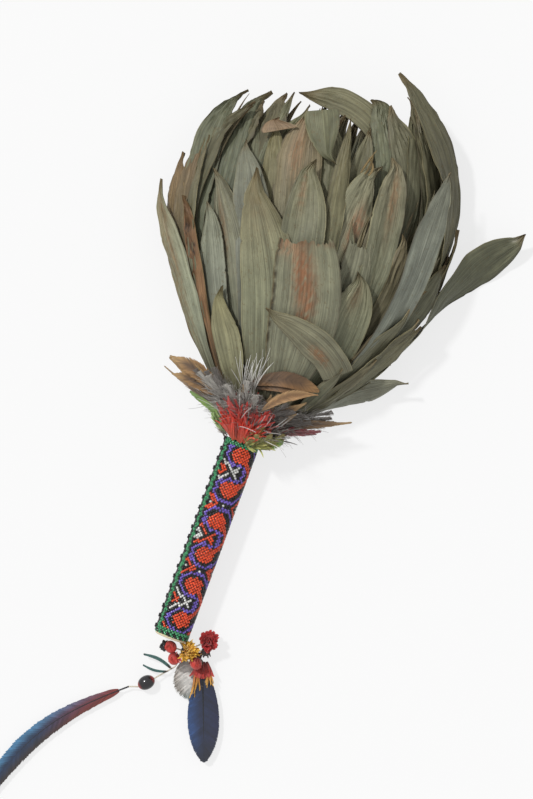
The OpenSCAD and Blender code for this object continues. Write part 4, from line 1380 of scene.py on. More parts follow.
@dataclass(frozen=True)
class FeatherCollar:
    """Six groups of feathers tied over the cord binding."""

    # A row gives a feather's foot, layer, angles at the foot and the tip, reach and width.
    groups: tuple[tuple[str, str, FeatherLook, tuple[tuple[float, ...], ...]], ...] = (
        ("hen_feathers", "brown_feather", HEN, (
            (10.5, 1.80, -50, -73, 38, 9), (7.5, 2.20, -76, -80, 31, 8), (10.5, 1.46, -8, -11, 38, 10),
            (10.5, 1.48, 30, 35, 41, 9), (10.5, 1.85, 58, 73, 39, 9), (9, 1.62, 12, 13, 40, 9))),
        ("down_feathers", "grey_down", DOWN, (
            (9, 1.68, -34, -45, 32, 8.5), (7.5, 1.78, 1, 2, 35, 9), (9, 1.68, 45, 55, 30, 9),
            (7.5, 1.80, 27, 28, 33, 8), (7.5, 1.84, -21, -28, 37, 7.5))),
        ("red_feathers", "red_feather", RED, (
            (6, 2.02, -31, -20, 27, 7), (4.5, 2.15, -48, -37, 20, 7), (6, 2.02, 9, 14, 25, 7),
            (4.5, 2.10, -9, -5, 18, 6), (4.5, 2.10, 24, 28, 16, 6))),
        ("dark_red_feathers", "red_feather", DARK_RED,
         ((7.5, 2.10, 63, 66, 26, 6), (6, 2.10, 80, 82, 23, 5))),
        ("green_feathers", "green_feather", GREEN, (
            (6, 2.35, -63, -69, 21, 7), (4.5, 2.10, -84, -88, 13, 6), (4.5, 2.30, 50, 63, 10, 7),
            (4.5, 2.20, -66, -60, 10, 5))),
        ("back_feathers", "brown_feather", BACK, (
            (7.5, 1.50, 112, 106, 28, 8), (7.5, 1.38, 138, 136, 24, 8), (7.5, 1.38, 222, 224, 24, 8),
            (7.5, 1.50, 248, 254, 28, 8))),
    )

    LYING = (
        Plume((-11, 110.5, 29), 15, 50, 11, 7.5, RUST, -6.0),
        Plume((-5, 110, 29), 13, 38, 9, 5.5, RUST, -4.0),
        Plume((4, 95.5, 46), 37, 42, 6.5, 2, TAN, -5.0),
        Plume((-24, 98, 24), 163, 45, 9, 2, HEN, 3.0),
        Plume((-23, 96, 21), 174, 39, 8, 1, HEN, 3.0),
    )
    TUFTS = (
        Tuft("low_red_barbs", "red_feather", 11, (-40, 18), 0.0, 23, 40, 2.1, ("#bc502c", "#da3e2a"), 0.13),
        Tuft("high_red_barbs", "red_feather", 9, (-26, 26), 6, 32, 34, 1.8, ("#96291e", "#c43226"), 0.13),
        Tuft("left_red_barbs", "red_feather", 1, (-66, -60), 6, 24, 12, 1.4, ("#8a2a20", "#b52f26"), 0.05),
        Tuft("olive_barbs", "green_feather", 6, (10, 60), -0.5, 15, 30, 1.3, ("#7d8a45", "#b9b76c"), 0.28),
        Tuft("dark_red_barbs", "red_feather", 3, (56, 84), 4, 32, 16, 1.2, ("#4c2022", "#8f2a34"), 0.09),
        Tuft("tan_barbs", "brown_feather", 3, (66, 86), 6, 33, 16, 1.3, ("#4a3b2e", "#8c6b44"), 0.08),
        Tuft("white_hairs", "grey_down", 12, (-50, 70), 8, 36, 9, 0.5, ("#a09b94", "#e2e0db"), 0.28),
        Tuft("white_wisps", "grey_down", 3, (-22, -4), 35, 36, 8, 0.4, ("#b5b2ab", "#dedcd7"), 0.2, 36.0),
        Tuft("grey_hairs", "grey_down", 14, (-60, 85), 7, 27, 26, 0.6, ("#3d3833", "#78726b"), 0.25),
    )

    @staticmethod
    def fill() -> list[tuple[FeatherLook, tuple[float, ...]]]:
        """Loose feathers that fill the collar between the tied ones, from a fixed seed.

        Returns:
            The look of each feather and its row of sizes.
        """
        rng = np.random.default_rng(23)
        made = []
        for look, count, turn, reach, layer, width, foot in (
            (DOWN, 26, (-75, 80), (24, 42), (1.5, 1.75), (8, 13), 7.5),
            (HEN, 6, (-70, 75), (30, 40), (1.5, 1.65), (7, 10), 9.0),
            (WHITE, 6, (-36, 2), (32, 42), (1.80, 1.88), (7, 10), 9.0),
            (GREEN, 3, (-70, -50), (12, 20), (2.2, 2.4), (6, 8), 1.5),
            (BACK, 12, (-88, 88), (8, 20), (1.6, 1.9), (6, 8), 0.5),
            (OLIVE, 6, (5, 75), (6, 16), (2.1, 2.3), (5, 8), 0.0),
            (BACK, 10, (100, 260), (14, 26), (1.3, 1.42), (7, 9), 6.0),
        ):
            for i in range(count):
                f = turn[0] + (turn[1] - turn[0]) * (i + rng.uniform(0.1, 0.9)) / count
                tip = f if abs(f) > 95 else f * 1.12
                made.append((look, (
                    foot + rng.uniform(-1, 1), rng.uniform(*layer), f, tip + rng.normal() * 5,
                    rng.uniform(*reach), rng.uniform(*width))))
        return made

    def build(self) -> None:
        """Makes each group as one piece, then the loose and lying feathers by kind, and the tufts."""
        finish = Plumage("collar_plumage").material()
        for group, (node, slot, look, rows) in enumerate(self.groups):
            parts = [CollarFeather(*row, look).build(100 * group + i) for i, row in enumerate(rows)]
            settle(Surface.joined(parts).to_object("barbed_" + node, finish), "head", slot, node)
        pieces: dict[str, list[Surface]] = {"loose_collar_feathers": []}
        soft = {DOWN: "loose_down_feathers", WHITE: "white_down_feathers"}
        for i, (look, row) in enumerate(self.fill()):
            name = soft.get(look, "loose_collar_feathers")
            pieces.setdefault(name, []).append(CollarFeather(*row, look).build(700 + i))
        for i, plume in enumerate(self.LYING):
            name = "feathers_on_leaf" if plume.look is RUST else "lying_hen_feathers"
            pieces.setdefault(name, []).append(plume.build(800 + i))
        for name, parts in pieces.items():
            body = "leaf_centre" if name == "feathers_on_leaf" else "head"
            slot = "grey_down" if "down" in name else "brown_feather"
            settle(Surface.joined(parts).to_object(name, finish), body, slot)
        for tuft in self.TUFTS:
            settle(tuft.build().to_object(tuft.name, finish), "head", tuft.slot)


class BeadColour(Enum):
    """Glass colours of the bead net."""

    BLACK = "#151416"
    GREEN = "#409463"
    PURPLE = "#7a63c6"
    ORANGE = "#e5502a"
    WHITE = "#dcdcd8"


Path = tuple[Range, ...]


@dataclass(frozen=True)
class BeadedGrip:
    """Net of seed beads round a cloth-lined handle, with a meander, lobed figures, crosses and chevrons.

    The pattern is laid out in columns from the left edge and in rows from the middle of a repeat. It is the
    same up and down and round the back.
    """

    columns: int = 42
    rows: int = 82
    net_columns: int = 30
    net_rows: int = 118
    length: float = 144.0
    radius: float = 11.62
    cloth_outer: float = 10.6
    cloth_inner: float = 9.4
    top: float = 71.8
    middles: tuple[float, ...] = (12.4, 39.7, 67.0)
    half_repeat: float = 13.65
    blob: Range = (12.3, 7.1)
    blob_size: Range = (4.1, 3.4)
    dots: Path = ((6.2, 0.6), (12.2, 0.6), (20.5, 0.9))
    cross_at: float = 11.5
    cross_heart: float = 1.1
    line: float = 0.6
    band_line: float = 1.05
    chevron_line: float = 0.7
    small_line: float = 0.65
    border: Range = (2.2, 4.4)
    border_zigzag: float = 0.6
    field_from: float = 5.0
    end_rows: Range = (1.9, 2.9)
    turn_jitter: float = 0.012
    row_jitter: float = 0.1
    tilt_jitter: float = 0.1
    out_jitter: float = 0.06
    shade_jitter: float = 0.1
    # Dark grey: painted shade that shows through the gaps in the bead net.
    cloth_colour: str = "#57524a"
    butt_colour: str = "#d9cba9"
    stalk_colours: tuple[str, str] = ("#6f5c3c", "#9a8558")
    meander: Path = (
        (16.5, 0), (15, 1), (16.5, 2), (14.5, 3), (12.5, 3.3), (10.5, 2.8), (9, 4), (7.5, 5), (6, 6.5),
        (7, 7.5), (6, 9), (8, 10.5), (9.5, 11.7), (12, 12), (14.5, 12), (16, 11), (17.5, 10), (19, 8.5),
        (21, 7))
    band: Path = ((14.5, 5.5), (18, 3), (20, 0))
    long_arm: Path = ((10, 1.2), (6, 3.7))
    short_arm: Path = ((11.5, 0), (13, 2))
    small_chevron: Path = ((8, 0), (5.7, 1.6))
    left_chevron: Path = ((9.5, 0), (5.5, 2.8))
    right_chevron: Path = ((16, 0), (20, 2.8))

    @staticmethod
    def near(path: Path, x: Array, y: Array) -> Array:
        """Distance from each point to a line of straight stretches.

        Args:
            path: Corners of the line, as column and row.
            x: Columns of the points.
            y: Rows of the points.

        Returns:
            The distances, in beads.
        """
        best = np.full(np.broadcast(x, y).shape, np.inf)
        for (ax, ay), (bx, by) in zip(path, path[1:]):
            dx, dy = bx - ax, by - ay
            t = np.clip(((x - ax) * dx + (y - ay) * dy) / (dx * dx + dy * dy), 0, 1)
            best = np.minimum(best, np.hypot(x - ax - t * dx, y - ay - t * dy))
        return best

    def pattern(self, column: Array, row: Array) -> Array:
        """Number of the bead colour at each column and row.

        Args:
            column: Column round the handle.
            row: Row down from the neck end.

        Returns:
            Colour numbers in the order of BeadColour.
        """
        p = np.where(column <= self.columns / 2, column, self.columns - column)
        gaps = np.abs(row[..., None] - np.array(self.middles))
        which = np.argmin(gaps, -1)
        d = np.min(gaps, -1)
        e = np.abs(self.half_repeat - d)
        outer = which != 1
        black, green, purple, orange, white = range(len(BeadColour))
        found = np.full(p.shape, black)
        found[self.near(self.meander, p, d) < self.line] = purple
        gap = [np.abs(x - at) / size for x, at, size in zip((p, d), self.blob, self.blob_size)]
        found[(gap[0] ** 1.6 + gap[1] ** 1.6 < 1) | (self.near(self.band, p, d) < self.band_line)] = orange
        for chevron in (self.left_chevron, self.right_chevron):
            found[self.near(chevron, p, e) < self.chevron_line] = orange
        for at, size in self.dots:
            found[np.hypot(p - at, e) < size] = white
        cross = np.minimum(self.near(self.long_arm, p, d), self.near(self.short_arm, p, d)) < self.line
        cross |= np.hypot(p - self.cross_at, d) < self.cross_heart
        found[cross] = np.where(outer, white, orange)[cross]
        small = self.near(self.small_chevron, p, d) < self.small_line
        found[small] = np.where(outer, orange, white)[small]
        found[p < self.field_from] = black
        zigzag = (np.round(row) % 4 < 2) * self.border_zigzag
        edge = (p > self.border[0] + zigzag) & (p < self.border[1] + zigzag)
        ends = (p > self.border[0]) & ((row < self.end_rows[0]) | (row > self.rows - self.end_rows[1]))
        found[edge | ends] = green
        return found

    def bead(self) -> Surface:
        """One bead: a rounded ring of five points in section and eight round its hole, which runs along x.

        Returns:
            The bead, with its middle at the origin.
        """
        radius = np.array([0.34, 0.7, 0.9, 0.7, 0.34])
        along = np.array([-0.54, -0.66, 0.0, 0.66, 0.54])
        turn = np.arange(8) * math.pi / 4
        level, upright = (wave(turn)[:, None] * radius for wave in (np.cos, np.sin))
        flat = np.stack([np.broadcast_to(along, (8, 5)), level, upright], -1).reshape(-1, 3)
        return Surface(flat, loop_quads(8, 5, closed=True), np.ones((40, 4)), flat.copy()).outward()

    def build(self) -> None:
        """Makes the net by colour, the cloth under it, the butt disc and the stalks' own finish."""
        grid = np.meshgrid(np.arange(self.net_columns), np.arange(self.net_rows), indexing="ij")
        column, row = (part.ravel() for part in grid)
        rng = np.random.default_rng(5)
        share = (column + 0.25 + 0.5 * (row % 2)) / self.net_columns
        down = (row + 0.5) / self.net_rows
        colours = self.pattern(share * self.columns, down * self.rows)
        edging = (row >= self.net_rows - 2) & (column % 2 == 0)
        colours = np.where(edging, list(BeadColour).index(BeadColour.BLACK), colours)
        turn = np.radians(-90 + share * 360) + self.turn_jitter * rng.normal(size=len(row))
        y = self.top - down * self.length + self.row_jitter * rng.normal(size=len(row))
        out = np.stack([np.sin(turn), 0 * turn, np.cos(turn)], -1)
        round_way = np.stack([np.cos(turn), 0 * turn, -np.sin(turn)], -1)
        tilt = np.where(row % 2, 1, -1) * math.pi / 4 + self.tilt_jitter * rng.normal(size=len(row))
        along = np.array([0.0, 1.0, 0.0])
        hole = round_way * np.cos(tilt)[:, None] + along * np.sin(tilt)[:, None]
        axes = np.stack([hole, np.cross(out, hole), out], 1)
        picot = np.where((share * self.columns < 1.4) & (row % 6 < 2), 1.0, 0.0)[:, None]
        far = self.radius + picot + self.out_jitter * rng.normal(size=(len(row), 1))
        centres = out * far + y[:, None] * along
        shape = self.bead()
        glass = GlassBead("seed_bead_glass").material()
        for number, colour in enumerate(BeadColour):
            chosen = colours == number
            shade = linear(colour.value) * (1 + self.shade_jitter * rng.normal(size=(chosen.sum(), 1)))
            shade[:, 3] = 1
            net = scattered(shape, centres[chosen], axes[chosen], np.clip(shade, 0, 1))
            made = net.to_object("seed_beads_" + colour.name.lower(), glass, sharp=80)
            settle(made, "handle", "glass_beads", "bead_sleeve")
        self.cloth()
        self.butt()
        self.stalks()

    def cloth(self) -> None:
        """Cotton tube under the net, tinted dark grey as painted shade between the beads."""
        run = np.linspace(-self.length / 2, self.length / 2, 40)
        y = np.concatenate([run, run[::-1]])
        radius = np.repeat([self.cloth_outer, self.cloth_inner], len(run))
        made = lathe(radius, y, 48, linear(self.cloth_colour), closed=True).outward()
        finish = Grained("cotton_cloth", 0.9, (0.5, 0.5, 1.0), 0.15, 0.15).material()
        settle(made.to_object("cotton_tube", finish), "handle", "cotton_cloth", "cloth_lining")

    def butt(self) -> None:
        """Pale cut end of the handle, with a worn edge."""
        radius = np.array([0.5, 4, 8, 10.4, 11.0, 11.3, 11.3, 11.0, 8, 4, 0.5])
        y = np.array([-74, -74, -73.95, -73.9, -73.6, -73.2, -72.6, -72.3, -72.15, -72.15, -72.15])
        made = lathe(radius, y, 48, linear(self.butt_colour)).outward()
        finish = Grained("cut_stalk", 0.7, (1.2, 0.6, 1.0), 0.1, 0.2).material()
        settle(made.to_object("cut_stalk_disc", finish), "handle", "cut_stalk_end", "butt_end")

    def stalks(self) -> None:
        """Finish of the bundled stalks, which keep their own solid shape."""
        made, tree, shader = new_material("leaf_stalk")
        where = add_node(tree, "ShaderNodeTexCoord").outputs["Object"]
        streaks = grain(tree, where, (MM / 0.9, 25 * MM, MM / 0.9), (0, 1), detail=3, span=(0, 1))[1]
        dark, pale = (linear(shade) for shade in self.stalk_colours)
        colour = add_node(tree, "ShaderNodeMix", {0: streaks, 6: dark, 7: pale}, data_type="RGBA").outputs[2]
        tree.links.new(colour, shader.inputs["Base Color"])
        shader.inputs["Roughness"].default_value = 0.7
        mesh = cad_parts["stalk_bundle"].data
        mesh.materials.clear()
        mesh.materials.append(made)


@dataclass(frozen=True)
class Neck:
    """Cord wound round the leaf stalks, and the pressed leaf feet that come out of it."""

    cord_r: float = 0.95
    wound_r: float = 12.35
    first: float = 76.0
    last: float = 84.6
    turns: int = 5
    flutes: int = 26
    flute_height: float = 0.55
    shoulder: float = 17.2
    cord_colour: str = "#7b6a4d"
    # Painted shade in the grooves between the flutes.
    painted_groove_shade: str = "#4f4a36"
    ridge_colour: str = "#6a664c"

    def build(self) -> None:
        """Makes the cord winding and the fluted bases."""
        t = np.linspace(0, 1, self.turns * 40)
        angle = TURN * self.turns * t
        path = np.stack([self.wound_r * np.sin(angle), self.first + (self.last - self.first) * t,
                         self.wound_r * np.cos(angle)], -1)
        cord = tube(path, self.cord_r, 8, linear(self.cord_colour)).outward()
        fibre = Grained("plant_fibre", 0.85, (0.5, 1.6, 1.0), 0.2, 0.3).material()
        settle(cord.to_object("wound_cord", fibre), "head", "plant_fibre_cord", "cord_binding")
        feet = self.bases().to_object("pressed_leaf_feet", DriedLeaf("pressed_leaf").material(), sharp=60)
        settle(feet, "head", "dried_leaf", "leaf_bases")

    def bases(self) -> Surface:
        """Core inside the cord, then a shoulder that follows the head, with a flute for each leaf foot.

        Returns:
            The closed shape.
        """
        sides = 156
        f = np.arange(sides) * 360 / sides
        t = np.linspace(0, 1, 16)[:, None]
        y = HEAD.neck_y + self.shoulder * t
        wave = np.sin(np.radians(f) * self.flutes)
        flute = self.flute_height * wave * ramp(t, 0, 0.4)
        side = 1.02 + 0.19 * t
        shell = HEAD.shell(f + 0 * t, y + 0 * f, 1.0)
        lean = HEAD.lean_at(y)
        x = lean + (shell[..., 0] - lean) * (side + flute * 0.02)
        z = shell[..., 2] * np.where(shell[..., 2] > 0, side, 1.05) * (1 + flute * 0.02)
        shoulder = np.stack([x, y + 0 * f, z], -1)
        core_r = np.array([2, 9.5, 9.5])[:, None]
        core_y = np.array([73.9, 79.9, 85.8])[:, None]
        t = np.radians(f)
        core = np.stack([core_r * np.sin(t), core_y + 0 * t, core_r * np.cos(t)], -1)
        plug = shoulder[-1:] * np.array([0.8, 1.0, 0.8]) + np.array([0.0, 0.1, 0.0])
        points = np.concatenate([core, shoulder, plug, plug + np.array([0.0, 9.0, 0.0])])
        # Painted shade: the grooves between the leaf feet are darker than the ridges.
        shade = mix(linear(self.painted_groove_shade), linear(self.ridge_colour), 0.5 + 0.5 * wave)
        tint = np.broadcast_to(shade, (len(points), sides, 4)).reshape(-1, 4)
        place = np.stack(np.broadcast_arrays(f * 0.25, points[..., 1], 3.0), -1)
        return Surface(points.reshape(-1, 3), loop_quads(len(points), sides), tint,
                       place.reshape(-1, 3)).outward()


BLUE = FeatherLook(
    "#18213a", "#27426e", "#151a28", "#1a2033", "#08090c", right="#121735", tip_from=0.7, foot_to=0.2,
    barbs=110, sweep=0.12, ragged=0.01, shaft_r=0.85, cup=0.04, cover=1.9, wide=1.12)
LONG = FeatherLook(
    "#1c2e49", "#4a7ba0", "#26446a", "#742c24", "#17151a", right="#2c2320", tip_from=0.9, foot_to=0.55,
    barbs=170, sweep=0.06, ragged=0.03, shaft_r=0.6, cup=0.04, cover=1.5)
PALE = FeatherLook(
    "#cdcbc6", "#9b958d", "#7d8a86", "#6f6a64", "#8a857e", right="#857a6f", barbs=90, sweep=0.16,
    ragged=0.03, fluff=0.05, cover=1.7, wide=1.5)
DARK = FeatherLook("#25331f", "#34482a", "#1f2a1a", "#1b2018", barbs=30, ragged=0.15, fluff=0.08)
WISP = FeatherLook(
    "#1f302e", "#35605b", "#274a47", "#2f2822", barbs=40, sweep=0.2, ragged=0.05, cover=1.4, wide=0.45)


@dataclass(frozen=True)
class Tassel:
    """Knotted threads with red buds, a yellow tuft, feathers and a seed, at the butt."""

    tie: Point = (7, -74.3, -3)
    knot: Point = (13, -79.6, -5)
    knot_r: float = 3.2
    buds: tuple[Point, ...] = ((2.4, -79.7, 1), (7.4, -86.6, 0), (23, -84.4, 0))
    bud_r: float = 4.0
    rosette: Point = (27, -66, -4)
    rosette_r: float = 6.0
    tuft_length: float = 11.0
    blue_at: Point = (27, -82.5, -8)
    strand: Point = (10, -93, -11)
    strand_angle: float = -132.0
    blue_angle: float = -69.0
    seed_at: Point = (-5, -110, -8.6)
    seed_length: float = 12.6
    seed_wide: float = 9.9
    long_at: Point = (-15.6, -117, -9.4)
    thread_r: float = 0.5
    thread_colour: str = "#d9d3c4"
    string_colour: str = "#cfc7b4"
    seed_colour: str = "#17161a"
    margin_colour: str = "#8f2520"

    def threads(self) -> Surface:
        """Twisted cotton threads from the knot to what hangs on it, each with a slight sag.

        Returns:
            All the threads.
        """
        parts = []
        for end in (self.tie, *self.buds, self.rosette, self.blue_at, self.strand):
            t = np.linspace(0, 1, 12)[:, None]
            sag = np.array([0, 0, -0.5]) * np.sin(math.pi * t)
            path = np.array(self.knot) * (1 - t) + np.array(end) * t + sag
            parts.append(tube(path, self.thread_r, 6, linear(self.thread_colour)).outward())
        return Surface.joined(parts)

    def bunches(self) -> dict[str, Surface]:
        """Red buds, which are small eggs under sprays of barbs, the red rosette and the yellow tuft.

        Returns:
            CAD node to its surface.
        """
        tilt, turn = math.radians(24), math.radians(40)
        axis = np.array([math.sin(tilt) * math.cos(turn), math.sin(tilt) * math.sin(turn), math.cos(tilt)])
        root = np.array(self.knot) + axis * (self.knot_r + 0.3)
        buds = []
        for i, at in enumerate(self.buds):
            egg = self.ball(at, 2.3 * self.bud_r, 2.1 * self.bud_r, (-30, -75, -60)[i])
            egg.tint = mix(linear("#c2352b"), linear("#741e1e"), ramp(egg.points[:, 1] - at[1], -1.0, 4.2))
            crown = spray(np.array(at) + (0, 3.2, 1.0), (0.2, -1, 0.7), 0.5, 7.5, 14, 1.8,
                          ("#7a2020", "#b83a30"), 40 + i)
            buds += [egg, crown]
        ways = ((1, 0, 0.4), (0, 1, 0.4), (-0.8, 0.4, 0.5), (0.3, -1, 0.4), (0.2, 0.2, 1))
        rose = [spray(np.array(self.rosette) + (-1, -1.5, 0), way, 0.42, self.rosette_r * 1.4, 24, 4.2,
                      ("#6d1a1c", "#b52c2b"), 50 + i) for i, way in enumerate(ways)]
        ways = ((0.9, 0.4, 0), (-0.5, 0.9, 0), (-0.3, -0.9, 0), (0.6, -0.6, 0), (0, 0, 1))
        tuft = [spray(root, axis + 0.7 * np.array(way), 0.3, self.tuft_length, 34, 2.0,
                      ("#b58426", "#f2c44a"), 60 + i) for i, way in enumerate(ways)]
        dark = spray(np.array(self.knot) + (3, 1, 1), (0.8, -0.35, 0.1), 0.25, 10, 22, 2.0,
                     ("#2b2420", "#7d2723"), 66)
        fan = spray(np.array(self.rosette) + (-1, -3, -1), (0.05, -1, 0.1), 0.2, 10.5, 26, 2.0,
                    ("#1f1c1b", "#50443e"), 67)
        return {"red_buds": Surface.joined([*buds, dark, fan]), "red_rosette": Surface.joined(rose),
                "yellow_tuft": Surface.joined(tuft)}

    def cap(self) -> Surface:
        """Red cap and yellow streaks over the root of the blue feather.

        Returns:
            All their barbs.
        """
        angle = math.radians(self.blue_angle)
        way = np.array([math.cos(angle), math.sin(angle), 0.03])
        root = np.array(self.blue_at) + (0, 0, 0.9)
        side = np.array([way[1], -way[0], 0])
        parts = [spray(root + side * x + (0, 0, 0.5), way + side * x * 0.05, 0.035, 12, 18, 3.0,
                       ("#5a2420", "#b03028"), 70 + i) for i, x in enumerate((-3, -1, 1, 3))]
        parts += [spray(root + side * x + way * 5, way + side * x * 0.02, 0.05, 17 + x * 0.8, 5, 1.2,
                        ("#a3342a", "#c79a3c"), 80 + i) for i, x in enumerate((-5, -3, 3, 5))]
        return Surface.joined(parts)

    def beads(self) -> Surface:
        """Small cluster of black beads by the butt, half as large again as those of the net.

        Returns:
            The cluster.
        """
        count = 16
        rng = np.random.default_rng(3)
        centres = np.array([-2.2, -80.0, 1.0]) + rng.uniform(-1, 1, (count, 3)) * (2.2, 3.2, 2.0)
        axes = np.tile(1.5 * np.eye(3), (count, 1, 1))
        tint = np.tile(linear(BeadColour.BLACK.value), (count, 1))
        return scattered(BeadedGrip().bead(), centres, axes, tint)

    def ball(self, centre: Point, long: float, wide: float, angle: float, red: float = 0.0) -> Surface:
        """Egg shape along a level angle, black with a red margin at its ends where asked.

        Args:
            centre: Its middle.
            long: Its length.
            wide: Its width.
            angle: Level angle of its length in degrees.
            red: Strength of the red margin.

        Returns:
            The egg.
        """
        sides = 28
        t = np.linspace(0.02, 0.98, 24) * math.pi
        turned = lathe(wide / 2 * np.sin(t), -long / 2 * np.cos(t), sides, linear(self.seed_colour))
        end = np.repeat(np.abs(np.cos(t)), sides)
        turned.tint = mix(turned.tint, linear(self.margin_colour), ramp(end, 0.62, 0.9) * red)
        c, s = math.cos(math.radians(angle)), math.sin(math.radians(angle))
        x, y, z = turned.points.T
        turned.points = np.stack([y * c - x * s, y * s + x * c, z], -1) + centre
        return turned.outward()

    def build(self) -> None:
        """Makes each tassel piece on its own body."""
        thread = Grained("cotton_thread", 0.9, (0.3, 1.0, 1.0), 0.15, 0.2).material()
        black = Grained("black_thread", 0.7, (0.3, 1.0, 1.0), 0.2, 0.3).material()
        plumage = Plumage("tassel_plumage").material()
        gloss = Plumage("blue_plumage", 0.38, 0.15).material()
        shell = GlassBead("polished_seed", 0.2).material()
        knot = self.ball(self.knot, 2 * self.knot_r, 2 * self.knot_r, 0)
        settle(knot.to_object("thread_knot", black), "tassel", "black_thread", "tassel_knot")
        threads = self.threads().to_object("twisted_threads", thread)
        settle(threads, "tassel", "cotton_thread", "tassel_threads")
        for node, bunch in self.bunches().items():
            slot = "yellow_feather" if node == "yellow_tuft" else "red_feather"
            settle(bunch.to_object("barbed_" + node, plumage), "tassel", slot, node)
        settle(self.cap().to_object("red_yellow_cap", plumage), "blue_plume", "red_feather")
        settle(self.beads().to_object("black_bead_cluster", shell), "tassel", "glass_beads")
        for name, body, slot, node, finish, plumes in (
            ("fluffy_pale_feather", "tassel", "pale_feather", "pale_feather", plumage,
             (Plume((13.5, -85, -10.8), -58, 30, 14, 0.6, PALE),)),
            ("small_dark_feather", "tassel", "green_feather", "dark_feather", plumage,
             (Plume((21, -77.6, -6.5), -52, 12, 4, 0.6, DARK),)),
            ("barbed_blue_feather", "blue_plume", "blue_feather", "blue_feather", gloss,
             (Plume(self.blue_at, self.blue_angle, 70, 20, -1.6, BLUE),)),
            ("fine_teal_wisps", "seed_strand", "green_feather", "teal_wisps", plumage,
             (Plume((8.6, -95, -8.8), 172, 22, 4, 0.8, WISP, 2.0),
              Plume((6.8, -97.4, -8.8), 186, 18, 3, 0.8, WISP, -1.5))),
            ("barbed_long_feather", "long_plume", "blue_feather", "long_feather", gloss,
             (Plume(self.long_at, -121, 140, 13.5, -1.2, LONG, 14.0),)),
        ):
            parts = [plume.build(300 + i) for i, plume in enumerate(plumes)]
            settle(Surface.joined(parts).to_object(name, finish), body, slot, node)
        self.seed(thread, shell)

    def seed(self, thread: Material, shell: Material) -> None:
        """Black seed on its thread, between the tassel and the long feather.

        Args:
            thread: Finish of the thread.
            shell: Finish of the seed.
        """
        a = math.radians(self.strand_angle)
        end = np.array([math.cos(a), math.sin(a), 0]) * self.seed_length / 2
        middle = np.array(self.seed_at)
        t = np.linspace(0, 1, 10)[:, None]
        shade = linear(self.string_colour)
        parts = [tube(np.array(p) * (1 - t) + np.array(q) * t, self.thread_r, 6, shade).outward()
                 for p, q in ((self.strand, middle - end), (middle + end, self.long_at))]
        string = Surface.joined(parts).to_object("seed_string", thread)
        settle(string, "seed_strand", "cotton_thread", "seed_thread")
        ball = self.ball(self.seed_at, self.seed_length, self.seed_wide, self.strand_angle, 0.95)
        settle(ball.to_object("polished_seed", shell), "seed_strand", "seed_shell", "hanging_seed")


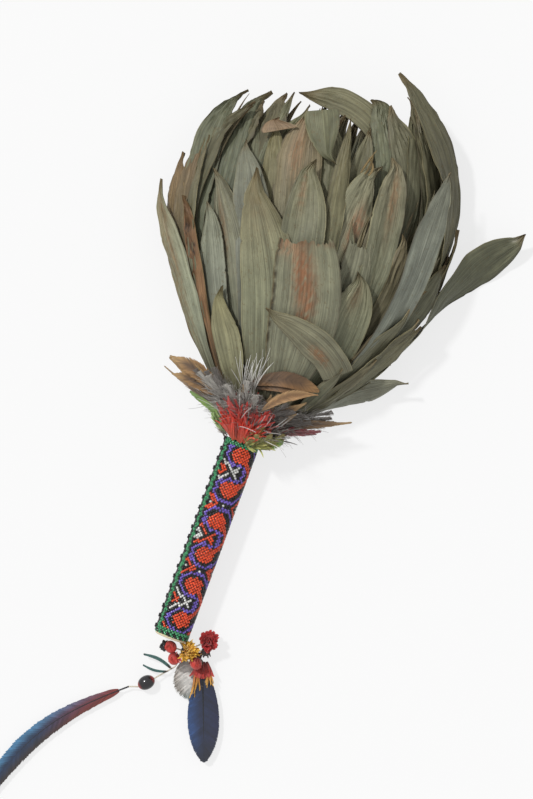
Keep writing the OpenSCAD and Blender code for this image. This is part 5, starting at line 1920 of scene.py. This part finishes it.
@dataclass(frozen=True)
class Studio:
    """Pale floor, soft daylight from the upper left of the picture and a camera straight above."""

    view_x: float = 5.6
    view_y: float = 105.8
    right: Range = (0.9385, 0.3453)
    distance: float = 1900.0
    frame_tall: float = 559.0
    sensor: float = 36.0
    floor_z: float = -14.0
    floor_wide: float = 6000.0
    to_sun: Range = (-0.908, 0.419)
    sun_height: float = 50.0
    sun_strength: float = 2.05
    sun_soft: float = 5.0
    sky: float = 0.55

    def build(self) -> None:
        """Adds the camera, the sun, the sky and the floor, and sets the plain view transform."""
        scene = bpy.context.scene
        scene.view_settings.view_transform = "Standard"
        self.camera(scene)
        self.sun(scene)
        self.world(scene)
        self.floor(scene)

    def camera(self, scene: bpy.types.Scene) -> None:
        """Camera that looks straight down, turned so that the handle leans as in the photo.

        Args:
            scene: Scene that it joins.
        """
        data = bpy.data.cameras.new("overhead")
        data.sensor_width = self.sensor
        data.lens = self.sensor * self.distance / self.frame_tall
        made = bpy.data.objects.new("overhead", data)
        across, along = self.right
        made.matrix_world = Matrix((
            (across, -along, 0, self.view_x * MM),
            (along, across, 0, self.view_y * MM),
            (0, 0, 1, self.distance * MM),
            (0, 0, 0, 1),
        ))
        scene.collection.objects.link(made)
        scene.camera = made

    def sun(self, scene: bpy.types.Scene) -> None:
        """Soft sun, aimed from its height and bearing.

        Args:
            scene: Scene that it joins.
        """
        data = bpy.data.lights.new("daylight", "SUN")
        data.energy = self.sun_strength
        data.angle = math.radians(self.sun_soft)
        made = bpy.data.objects.new("daylight", data)
        level = math.cos(math.radians(self.sun_height))
        to_sun = (self.to_sun[0] * level, self.to_sun[1] * level, math.sin(math.radians(self.sun_height)))
        made.rotation_euler = Vector(to_sun).to_track_quat("Z", "Y").to_euler()
        scene.collection.objects.link(made)

    @staticmethod
    def seen(tree: Tree) -> Socket:
        """Socket that is 1 for rays from the camera, from a gloss or through glass, and 0 for other light.

        Args:
            tree: Node tree of the floor or the world.

        Returns:
            The socket.
        """
        path = add_node(tree, "ShaderNodeLightPath").outputs
        shiny = add_node(tree, "ShaderNodeMath", {0: path["Is Glossy Ray"], 1: path["Is Transmission Ray"]},
                         operation="MAXIMUM").outputs[0]
        return add_node(tree, "ShaderNodeMath", {0: path["Is Camera Ray"], 1: shiny},
                        operation="MAXIMUM").outputs[0]

    def world(self, scene: bpy.types.Scene) -> None:
        """Even white sky that the camera sees as plain white.

        Args:
            scene: Scene that it joins.
        """
        sky = bpy.data.worlds.new("white_sky")
        sky.use_nodes = True
        tree = sky.node_tree
        tree.nodes.clear()
        soft = add_node(tree, "ShaderNodeBackground", {"Color": (1, 1, 1, 1), "Strength": self.sky})
        white = add_node(tree, "ShaderNodeBackground", {"Color": (1, 1, 1, 1), "Strength": 1.0})
        both = add_node(tree, "ShaderNodeMixShader",
                        {0: self.seen(tree), 1: soft.outputs[0], 2: white.outputs[0]})
        add_node(tree, "ShaderNodeOutputWorld", {"Surface": both.outputs[0]})
        scene.world = sky

    def floor(self, scene: bpy.types.Scene) -> None:
        """White sheet under the rattle, which glows a little to the camera so that only soft shadows show.

        Args:
            scene: Scene that it joins.
        """
        half = self.floor_wide / 2 * MM
        mesh = bpy.data.meshes.new("white_sheet")
        z = (self.floor_z - 0.05) * MM
        mesh.from_pydata([(-half, -half, z), (half, -half, z), (half, half, z), (-half, half, z)], [],
                         [(0, 1, 2, 3)])
        made, tree, shader = new_material("white_paper")
        shader.inputs["Base Color"].default_value = (0.8, 0.8, 0.8, 1)
        shader.inputs["Roughness"].default_value = 0.9
        shader.inputs["Specular IOR Level"].default_value = 0.0
        glow = add_node(tree, "ShaderNodeEmission", {"Color": (1, 1, 1, 1), "Strength": 1.0})
        part = add_node(tree, "ShaderNodeMath", {0: self.seen(tree), 1: 0.75}, operation="MULTIPLY")
        both = add_node(tree, "ShaderNodeMixShader",
                        {0: part.outputs[0], 1: shader.outputs[0], 2: glow.outputs[0]})
        out = next(node for node in tree.nodes if node.type == "OUTPUT_MATERIAL")
        tree.links.new(both.outputs[0], out.inputs["Surface"])
        mesh.materials.append(made)
        sheet = bpy.data.objects.new("white_sheet", mesh)
        scene.collection.objects.link(sheet)


def main() -> None:
    """Builds the studio and each sub-assembly in order."""
    logging.basicConfig(level=logging.INFO, format="%(message)s")
    Studio().build()
    LeafHead().build()
    FeatherCollar().build()
    BeadedGrip().build()
    Neck().build()
    Tassel().build()


if __name__ == "__main__":
    main()
